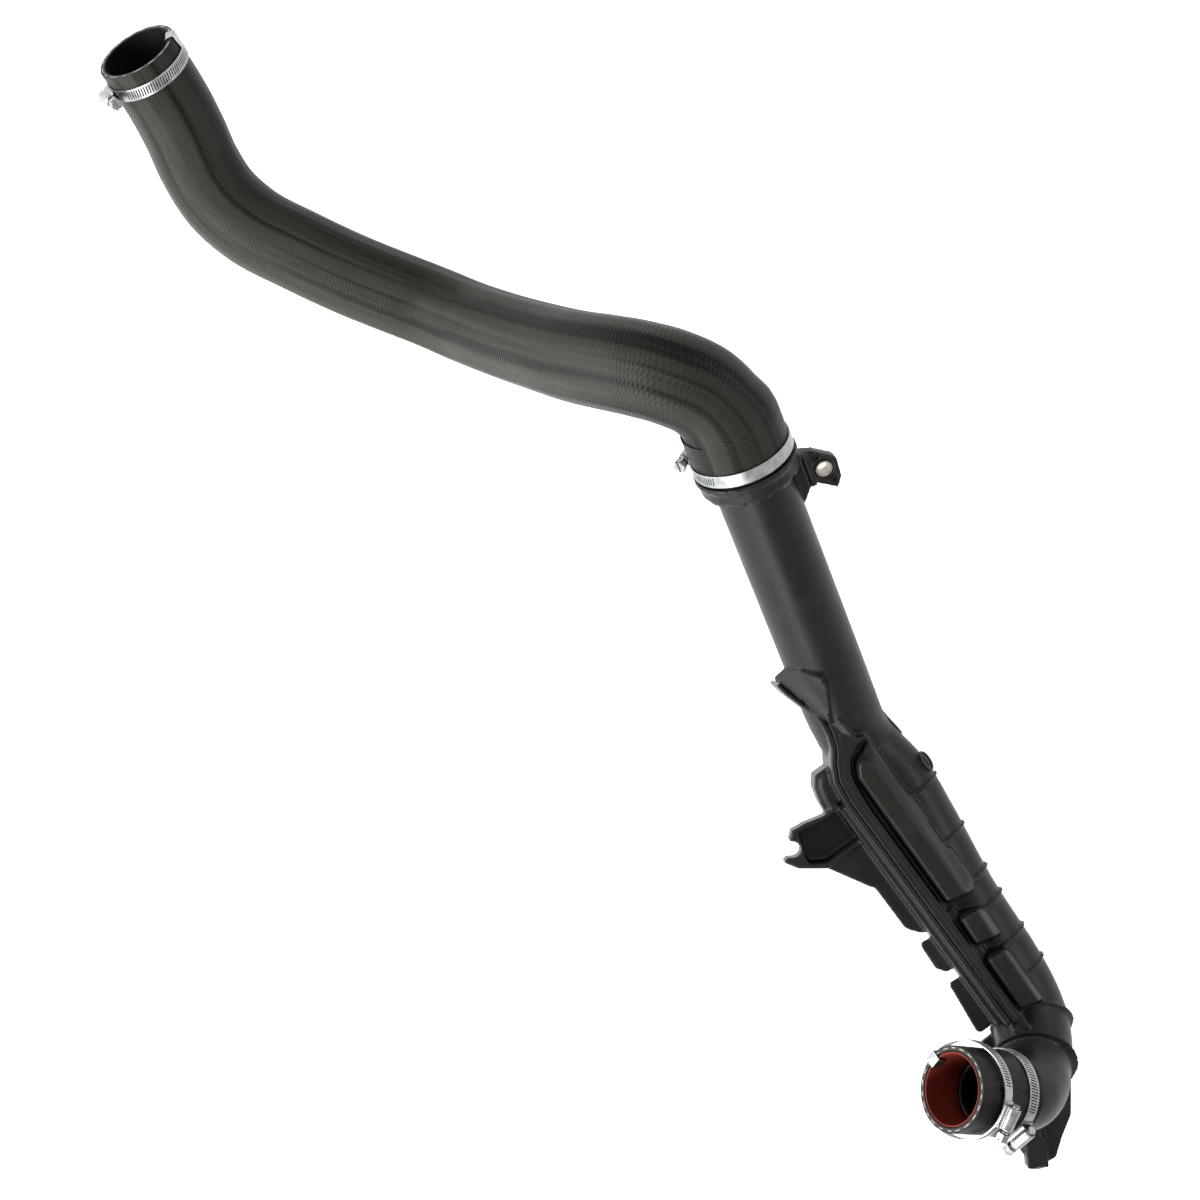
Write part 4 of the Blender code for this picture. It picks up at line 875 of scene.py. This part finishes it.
# %% Swept skins
def sweep(stations, sides, ripple=None):
    """A tube skin with wrap coordinates: stations are (centre, direction, radius, coordinate, material)."""
    bm = bmesh.new()
    wrap = bm.loops.layers.uv.new("wrap")
    direction = stations[0][1]
    side = direction.orthogonal().normalized()
    rings = []
    for centre, heading, radius, mark, slot in stations:
        side.rotate(direction.rotation_difference(heading))
        side = (side - heading * side.dot(heading)).normalized()
        direction = heading
        other = heading.cross(side)
        ring = []
        for k in range(sides):
            angle = FULL_TURN * k / sides
            reach = radius - (ripple(angle, mark) if ripple else 0.0)
            ring.append(bm.verts.new(centre + reach * (math.cos(angle) * side + math.sin(angle) * other)))
        rings.append(ring)
    for ring, following, first, second in zip(rings, rings[1:], stations, stations[1:]):
        for k in range(sides):
            j = (k + 1) % sides
            face = bm.faces.new((ring[k], ring[j], following[j], following[k]))
            face.material_index = second[4]
            corners = ((k / sides, first[3]), ((k + 1) / sides, first[3]),
                       ((k + 1) / sides, second[3]), (k / sides, second[3]))
            for loop, corner in zip(face.loops, corners):
                loop[wrap].uv = corner
    return bm


# %% The hose's route
# The points are measured from the middle of the clamp on the pipe.
HOSE_ROUTE = [
    (-0.0266, 0.0373, 0.0225), (-0.0461, 0.0458, 0.0258), (-0.0666, 0.0523, 0.0172), (-0.0860, 0.0578, 0.0012),
    (-0.1059, 0.0638, -0.0205), (-0.1335, 0.0750, -0.0560), (-0.1622, 0.0878, -0.0920), (-0.1882, 0.1003, -0.1205),
    (-0.2144, 0.1127, -0.1338), (-0.2417, 0.1234, -0.1348), (-0.2675, 0.1337, -0.1349), (-0.3077, 0.1523, -0.1349),
    (-0.3440, 0.1715, -0.1338), (-0.3645, 0.1900, -0.1308), (-0.3775, 0.2110, -0.1243), (-0.3860, 0.2325, -0.1125),
    (-0.3948, 0.2515, -0.0978), (-0.4032, 0.2660, -0.0840), (-0.4116, 0.2795, -0.0700),
]
SPIGOT_RADIUS = 0.0575 / 2
SPIGOT_BEAD = 0.0007
FIT_GAP = 0.0003
HOSE_WALL = 0.004
HOSE_SIDES = 112
HOSE_DIAMETER = 0.0600
MOUTH_DIAMETER = 0.0578
SWELL = 0.0040
SWELL_PLACE = 0.13
SWELL_SPREAD = 0.16
TAPER_START = 0.8
TAPER_SPAN = 0.2
CUFF_RADIUS = SPIGOT_RADIUS + SPIGOT_BEAD + FIT_GAP + HOSE_WALL
CUFF_TOP = 0.0255
CUFF_STATIONS = 6
CUFF_FADE = 0.012
HOSE_SETBACK = 0.0065
LIP = 0.0007


def hose_radius(part):
    """The outer radius from the cuff (0) to the mouth (1)."""
    swell = math.exp(-((part - SWELL_PLACE) / SWELL_SPREAD) ** 2)
    thick = HOSE_DIAMETER + SWELL * swell
    taper = max(0.0, (part - TAPER_START) / TAPER_SPAN)
    return (thick + (MOUTH_DIAMETER - thick) * taper) / 2


clamp_middle = pipe.translation
pipe_up = pipe.to_3x3() @ Vector((0, 0, 1))
through = [clamp_middle + Vector(point) for point in HOSE_ROUTE]
hose_out = (through[-1] - through[-2]).normalized()
hose_line = smooth_curve([clamp_middle, clamp_middle + pipe_up * CUFF_TOP, *through])
print("hose route has", len(hose_line), "points")

# %% Stations along the hose
def line_stations(line, first, last):
    """(centre, direction, distance) along a line of points."""
    found = []
    distance = 0.0
    for index, point in enumerate(line):
        behind = line[max(index - 1, 0)]
        ahead = line[min(index + 1, len(line) - 1)]
        distance += (point - behind).length
        found.append((point, (ahead - behind).normalized(), distance))
    found[0] = (line[0], first, 0.0)
    found[-1] = (line[-1], last, distance)
    return found


hose_bends = line_stations(hose_line, pipe_up, hose_out)
bend_length = hose_bends[-1][2]
cuff_start = clamp_middle - pipe_up * HOSE_SETBACK
cuff_length = HOSE_SETBACK + CUFF_TOP
hose_skin = []
for k in range(CUFF_STATIONS):
    along = cuff_length * k / CUFF_STATIONS
    hose_skin.append((cuff_start + pipe_up * along, pipe_up, CUFF_RADIUS, along))
for centre, direction, distance in hose_bends:
    radius = hose_radius(distance / bend_length)
    cuff_part = max(0.0, 1.0 - (centre - hose_line[0]).length / CUFF_FADE)
    hose_skin.append((centre, direction, radius + (CUFF_RADIUS - radius) * cuff_part, cuff_length + distance))
straight = (through[-1] - through[-2]).length
hose_skin.append((through[-1], hose_out, MOUTH_DIAMETER / 2, cuff_length + bend_length + straight))
print("hose is", round(hose_skin[-1][3], 3), "m long on its middle line")

# %% [markdown]
# The skin runs from the cuff to the mouth, turns over a small rounded lip, crosses the cut end, turns
# over again and runs back inside. The shallow furrows are a few slow waves round the hose that drift
# as they go along it. They only ever go inward, so the hose stays inside its solid.

# %% The hose mesh
HOSE_END = hose_skin[-1][3]
FURROW = 0.0011
FURROW_START = 0.045
FURROW_STOP = 0.05
FURROW_FADE = 0.05
# Each row is a strength, waves round the hose, a drift in turns of one radian per metre, and a phase.
FURROW_WAVES = [(0.6, 5, 6.0, 0.8), (0.8, 9, -7.0, 2.1), (0.6, 14, 9.0, 0.0)]
SKIN, CUT_END, INSIDE = 0, 1, 2
LIP_STEPS = 4


def hose_furrows(angle, mark):
    """How deep the skin dips at an angle and a distance along the hose."""
    if mark <= 0:
        return 0.0
    fade = min(1.0, max(0.0, (mark - FURROW_START) / FURROW_FADE))
    fade *= min(1.0, max(0.0, (HOSE_END - FURROW_STOP - mark) / FURROW_FADE))
    wave = sum(strength * math.sin(waves * angle + drift * mark + phase)
               for strength, waves, drift, phase in FURROW_WAVES)
    return FURROW * fade * (0.5 + 0.25 * wave)


def lip_stations(centre, direction, outer, wall, mark):
    """The rounded lip, the cut end and the inner edge at one end of a hose."""
    turns = [math.pi / 2 * k / LIP_STEPS for k in range(1, LIP_STEPS + 1)]
    found = [(centre - direction * (LIP * (1 - math.sin(turn))), direction, outer - LIP * (1 - math.cos(turn)),
              mark, SKIN) for turn in turns]
    for k in range(LIP_STEPS + 1):
        share = k / LIP_STEPS
        found.append((centre, direction, outer - LIP - (wall - 2 * LIP) * share, -share, CUT_END))
    found += [(centre - direction * (LIP * (1 - math.cos(turn))), direction,
               outer - wall + LIP * (1 - math.sin(turn)), -1.0, INSIDE) for turn in turns]
    return found


outside = [(c, d, r, m, SKIN) for c, d, r, m in hose_skin]
outside[0] = (outside[0][0], outside[0][1], outside[0][2] - LIP, 0.0, SKIN)
outside.insert(1, (cuff_start + pipe_up * LIP, pipe_up, CUFF_RADIUS, LIP, SKIN))
end_centre, end_direction, end_radius, end_mark, _ = outside.pop()
outside.append((end_centre - end_direction * LIP, end_direction, end_radius, end_mark - LIP, SKIN))
lip = lip_stations(end_centre, end_direction, end_radius, HOSE_WALL, end_mark)
inside = [(c, d, r - HOSE_WALL, -1.0 - m, INSIDE) for c, d, r, m in reversed(hose_skin[:-1])]
first_centre, first_direction, first_radius = outside[0][:3]
cuff_face = [(first_centre, first_direction, first_radius, -0.5, CUT_END)]
bm = sweep(outside + lip + inside + cuff_face, HOSE_SIDES, hose_furrows)
hose_body = add_piece("hose_body", bm)
dress(hose_body, [hose_rubber, hose_cut, inner_rubber], ["upper_hose"])
print("hose has", len(hose_body.data.vertices), "vertices")

# %% [markdown]
# ## The connector hose
#
# The short hose on the elbow is straight, so its stations lie on one line. It gets the same rounded
# lips, and its red lining is a thin tube of its own that ends flush with the cut.

# %% The connector and its lining
CONNECTOR_LOW = 0.003
CONNECTOR_LENGTH = 0.057
CONNECTOR_DIAMETER = 0.0585
CONNECTOR_RADIUS = CONNECTOR_DIAMETER / 2
CONNECTOR_WALL = 0.0040
CONNECTOR_SIDES = 96
STATION_STEP = 0.006
LINER_WALL = 0.0010
LINER_EDGE = 0.0003
connector_out = connector.to_3x3() @ Vector((0, 0, 1))
rim_height = CONNECTOR_LOW + CONNECTOR_LENGTH


def on_connector(height):
    return connector @ Vector((0, 0, height))


def connector_station(height, radius, mark=0.0, slot=SKIN):
    return (on_connector(height), connector_out, radius, mark, slot)


stations = [connector_station(CONNECTOR_LOW, CONNECTOR_RADIUS - LIP)]
stations += [connector_station(CONNECTOR_LOW + LIP + k * STATION_STEP, CONNECTOR_RADIUS, k * STATION_STEP)
             for k in range(9)]
stations.append(connector_station(rim_height - LIP, CONNECTOR_RADIUS, CONNECTOR_LENGTH))
stations += lip_stations(on_connector(rim_height), connector_out, CONNECTOR_RADIUS, CONNECTOR_WALL, CONNECTOR_LENGTH)
stations.append(connector_station(CONNECTOR_LOW, CONNECTOR_RADIUS - CONNECTOR_WALL, -1.0, INSIDE))
stations.append(connector_station(CONNECTOR_LOW, CONNECTOR_RADIUS - LIP, -0.5, CUT_END))
connector_body = add_piece("connector_body", sweep(stations, CONNECTOR_SIDES))
dress(connector_body, [connector_rubber, connector_cut, inner_rubber], ["connector_hose"])

lining_radius = CONNECTOR_RADIUS - CONNECTOR_WALL - FIT_GAP
lining_inside = lining_radius - LINER_WALL
edge_height = rim_height - LINER_EDGE
outline = [(CONNECTOR_LOW, lining_radius), (edge_height, lining_radius), (rim_height, lining_radius - LINER_EDGE),
           (rim_height, lining_inside + LINER_EDGE), (edge_height, lining_inside), (CONNECTOR_LOW, lining_inside),
           (CONNECTOR_LOW, lining_radius)]
lining_skin = add_piece("lining_skin", sweep([connector_station(*point) for point in outline], CONNECTOR_SIDES))
dress(lining_skin, [red_lining], ["connector_liner"])

# %% [markdown]
# ## Worm-drive clamps
#
# A worm-drive clamp is a strip of steel with slanted slots, and a screw whose thread runs in them. The
# strip is made as a flat grid bent round the hose, with the slots left out of the grid, and the
# Solidify modifier gives it its thickness, so every slot is a real hole with its own edges.

# %% Slotted band
BAND_WIDTH = 0.009
BAND_THICKNESS = 0.0010
SLOT_PITCH = 0.0019
SLOT_SHARE = 0.45
SLOT_HALF = 0.0031
SLOT_SLANT = 0.0006
SEAM_ANGLE = 0.2


def add_thickness(item, amount, offset=0.0):
    """Solidify, applied."""
    modifier = item.modifiers.new("thickness", "SOLIDIFY")
    modifier.thickness = amount
    modifier.offset = offset
    modifier.use_even_offset = True
    apply_modifiers(item)
    item.data.shade_smooth()
    item.data.set_sharp_from_angle(angle=SMOOTH_ANGLE)


def band_mesh(radius, slots_from, slots_to, facing):
    """The strip's middle surface: slots lie between two angles from the housing."""
    count = round(2 * math.pi * radius / SLOT_PITCH)
    pitch = 2 * math.pi / count
    rows = (-BAND_WIDTH / 2, -SLOT_HALF, SLOT_HALF, BAND_WIDTH / 2)
    shears = (-SLOT_SLANT, -SLOT_SLANT, SLOT_SLANT, SLOT_SLANT)
    bm = bmesh.new()
    columns = []
    for k in range(count):
        for part in (0.0, 1.0 - SLOT_SHARE):
            start = facing + (k + part) * pitch
            column = []
            for height, shear in zip(rows, shears):
                angle = start + shear / radius
                column.append(bm.verts.new((radius * math.cos(angle), radius * math.sin(angle), height)))
            columns.append(column)
    for index, column in enumerate(columns):
        following = columns[(index + 1) % len(columns)]
        angle = (index // 2) * pitch
        holed = index % 2 == 1 and slots_from <= angle <= slots_to
        for row in range(3):
            if holed and row == 1:
                continue
            bm.faces.new((column[row], following[row], following[row + 1], column[row + 1]))
    return bm


# %% [markdown]
# The screw sits in a pressed steel housing on the strip: a saddle that follows the strip, and a
# barrel that closes over the screw. The screw's thread is a ridge whose place along the
# screw moves on as it goes round, which needs only one formula for the radius.

# %% Housing and screw
PRESSED_SHEET = 0.0006
SADDLE_LENGTH = 0.0200
SADDLE_WIDTH = 0.0112
SADDLE_END_SHARE = 0.86
BARREL_BASE = 0.0010
BARREL_RADIUS = 0.0040
BARREL_OPENING = 236
# Each row is a place along the screw and how much wider the cover is there.
BARREL_PLACES = [(-0.0080, -0.0003), (-0.0077, 0.0), (-0.0068, 0.0002), (0.0, 0.0002), (0.0068, 0.0002),
                 (0.0077, 0.0), (0.0080, -0.0003)]
SCREW_LIFT = 0.0048
SCREW_HALF = 0.0105
THREAD_PITCH = 0.0019
THREAD_CORE = 0.0024
THREAD_DEPTH = 0.0006
HEAD_CORNER = 0.0080 / 2 / math.cos(math.pi / 6)
HEAD_SHAPE = [(0.0108, 0.98), (0.0112, 1.0), (0.0153, 1.0), (0.0163, 0.90)]
SLOT_LOW = (-0.0006, -0.006, 0.0146)
SLOT_HIGH = (0.0006, 0.006, 0.0180)


def saddle_mesh(radius):
    half = SADDLE_LENGTH / 2 / radius
    rows = []
    for k in range(13):
        angle = -half + 2 * half * k / 12
        share = 1.0 if abs(k - 6) < 5 else SADDLE_END_SHARE
        rows.append([(radius * math.cos(angle), radius * math.sin(angle), side * SADDLE_WIDTH / 2 * share)
                     for side in (-1, -0.5, 0, 0.5, 1)])
    return sheet_mesh(rows)


def barrel_mesh():
    """The pressed cover: its section stands on the saddle and closes round the screw."""
    base = BARREL_BASE
    rows = []
    for place, swell in BARREL_PLACES:
        section = [(base, -0.0058), (base, -0.0046), (base + 0.0012, -0.0037)]
        for k in range(17):
            angle = math.radians(-BARREL_OPENING / 2 + BARREL_OPENING * k / 16)
            reach = BARREL_RADIUS + swell
            section.append((SCREW_LIFT + reach * math.cos(angle), reach * math.sin(angle)))
        section += [(base + 0.0012, 0.0037), (base, 0.0046), (base, 0.0058)]
        rows.append([(x, y, place) for x, y in section])
    return sheet_mesh(rows)


def screw_mesh(sides=24, steps=90):
    """The threaded part of the screw."""
    rings = []
    for k in range(steps + 1):
        place = -SCREW_HALF + 2 * SCREW_HALF * k / steps
        ring = []
        for n in range(sides):
            angle = FULL_TURN * n / sides
            phase = (place / THREAD_PITCH - n / sides) % 1.0
            radius = THREAD_CORE + THREAD_DEPTH * max(0.0, 1.0 - abs(phase - 0.5) * 3.2)
            ring.append((radius * math.cos(angle), radius * math.sin(angle), place))
        rings.append(ring)
    return capped_mesh(rings)


def head_mesh():
    """A hexagon head with a chamfered rim."""
    return capped_mesh([[(HEAD_CORNER * share * math.cos(math.pi / 3 * n),
                          HEAD_CORNER * share * math.sin(math.pi / 3 * n), place) for n in range(6)]
                        for place, share in HEAD_SHAPE])


# %% One clamp
def add_clamp(prefix, place, inner_radius, turn, slots_from, slots_to, flip=1):
    """Band, housing and screw round the frame's Z, each for its own solid."""
    outer = inner_radius + BAND_THICKNESS
    ring = place @ turned(turn)
    strip = add_piece(prefix + "_strip", band_mesh(inner_radius, slots_from, slots_to, SEAM_ANGLE), ring)
    add_thickness(strip, BAND_THICKNESS * 0.85, 1.0)
    dress(strip, [zinc_steel], [prefix + "_band"])

    along = ring @ shifted(outer, 0, 0) @ turned(math.radians(-90 * flip), "X")
    cover = add_piece(prefix + "_cover", barrel_mesh(), along)
    add_thickness(cover, PRESSED_SHEET)
    saddle = add_piece(prefix + "_saddle", saddle_mesh(outer + 0.0005), ring)
    add_thickness(saddle, PRESSED_SHEET)
    dress(cover, [zinc_steel], [prefix + "_housing"])
    dress(saddle, [zinc_steel])

    screw_place = along @ shifted(SCREW_LIFT, 0, 0)
    thread = add_piece(prefix + "_thread", screw_mesh(), screw_place)
    dress(thread, [zinc_steel], [prefix + "_screw"])
    head = add_piece(prefix + "_head", head_mesh(), screw_place)
    slot = convex(product(*zip(SLOT_LOW, SLOT_HIGH)), Matrix.Identity(4))
    cut(head, add_piece("slot_tool", slot, screw_place))
    dress(head, [zinc_steel])


# %% Frames of the four clamps
HOSE_MOUTH_RADIUS = MOUTH_DIAMETER / 2
END_CLAMP_BACK = 0.0145
INNER_CLAMP_BACK = 0.049
LOOSE_CLAMP_BACK = 0.0155
LOOSE_CLAMP_SIDE = -0.0014
LOOSE_CLAMP_SLACK = 0.0071
LOOSE_CLAMP_TILT = math.radians(12)
NEARLY_ALL_ROUND = (0.3, 5.9)

mouth = axis_frame(through[-1], hose_out, Vector((0, 0, 1)))
rim = connector @ shifted(0, 0, rim_height)
end_place = mouth @ shifted(0, 0, -END_CLAMP_BACK)
inner_place = rim @ shifted(0, 0, -INNER_CLAMP_BACK)
loose_place = rim @ shifted(LOOSE_CLAMP_SIDE, 0, -LOOSE_CLAMP_BACK) @ turned(LOOSE_CLAMP_TILT, "Y")
loose_radius = (CONNECTOR_DIAMETER + LOOSE_CLAMP_SLACK) / 2
add_clamp("mid_clamp", pipe, CUFF_RADIUS + FIT_GAP, math.radians(140), 0.0, 1.2)
add_clamp("end_clamp", end_place, HOSE_MOUTH_RADIUS + FIT_GAP, math.radians(-76), *NEARLY_ALL_ROUND)
add_clamp("inner_clamp", inner_place, CONNECTOR_RADIUS + FIT_GAP, math.radians(-40), *NEARLY_ALL_ROUND, -1)
add_clamp("loose_clamp", loose_place, loose_radius, math.radians(-12), *NEARLY_ALL_ROUND, -1)

# %% [markdown]
# ## Spring clips
#
# A loose clamp would fall off before the hose is fitted, so a bent steel clip holds it: one leg goes
# inside the hose, and the other reaches over the rim to the band. Each clip is one bent strip.

# %% Clips
CLIP_WIDTH = 0.0085
CLIP_SHEET = 0.0008
CLIP_GAP = 0.0004
CLIP_CLEARANCE = 0.0006
CLIP_LEG = 0.0066
CLIP_BEND = 0.0009
CLIP_END_SHARE = 0.82
LOOSE_FOOT = 0.012


def rounded_path(points, radius, steps=5):
    """A path whose inner corners are replaced by short curves."""
    path = [Vector(points[0])]
    for before, corner, after in zip(points, points[1:], points[2:]):
        corner = Vector(corner)
        start = corner + (Vector(before) - corner).normalized() * radius
        end = corner + (Vector(after) - corner).normalized() * radius
        for k in range(steps + 1):
            t = k / steps
            path.append((1 - t) ** 2 * start + 2 * t * (1 - t) * corner + t ** 2 * end)
    return path + [Vector(points[-1])]


def add_clip(name, place, wall_outer, wall_inner, foot, node):
    """A bent strip whose path is given in the plane of the frame's X and Z."""
    half = CLIP_WIDTH / 2
    out = wall_outer + CLIP_GAP + CLIP_SHEET / 2
    into = math.sqrt((wall_inner - CLIP_CLEARANCE) ** 2 - half ** 2) - CLIP_SHEET / 2
    top = CLIP_GAP + CLIP_SHEET / 2
    path = rounded_path([(out, -foot), (out, top), (into, top), (into, -CLIP_LEG)], CLIP_BEND)
    rows = []
    for index, point in enumerate(path):
        share = CLIP_END_SHARE if index in (0, len(path) - 1) else 1.0
        rows.append([(point.x, side * half * share, point.y) for side in (-1, -0.4, 0.4, 1)])
    clip = add_piece(name, sheet_mesh(rows), place)
    add_thickness(clip, CLIP_SHEET)
    dress(clip, [zinc_steel], [node])


end_foot = END_CLAMP_BACK - BAND_WIDTH / 2 - FIT_GAP
add_clip("end_spring", mouth @ turned(math.radians(75)), HOSE_MOUTH_RADIUS, HOSE_MOUTH_RADIUS - HOSE_WALL,
         end_foot, "end_clip")
add_clip("loose_spring", rim @ turned(math.radians(147)), CONNECTOR_RADIUS, lining_inside, LOOSE_FOOT, "loose_clip")
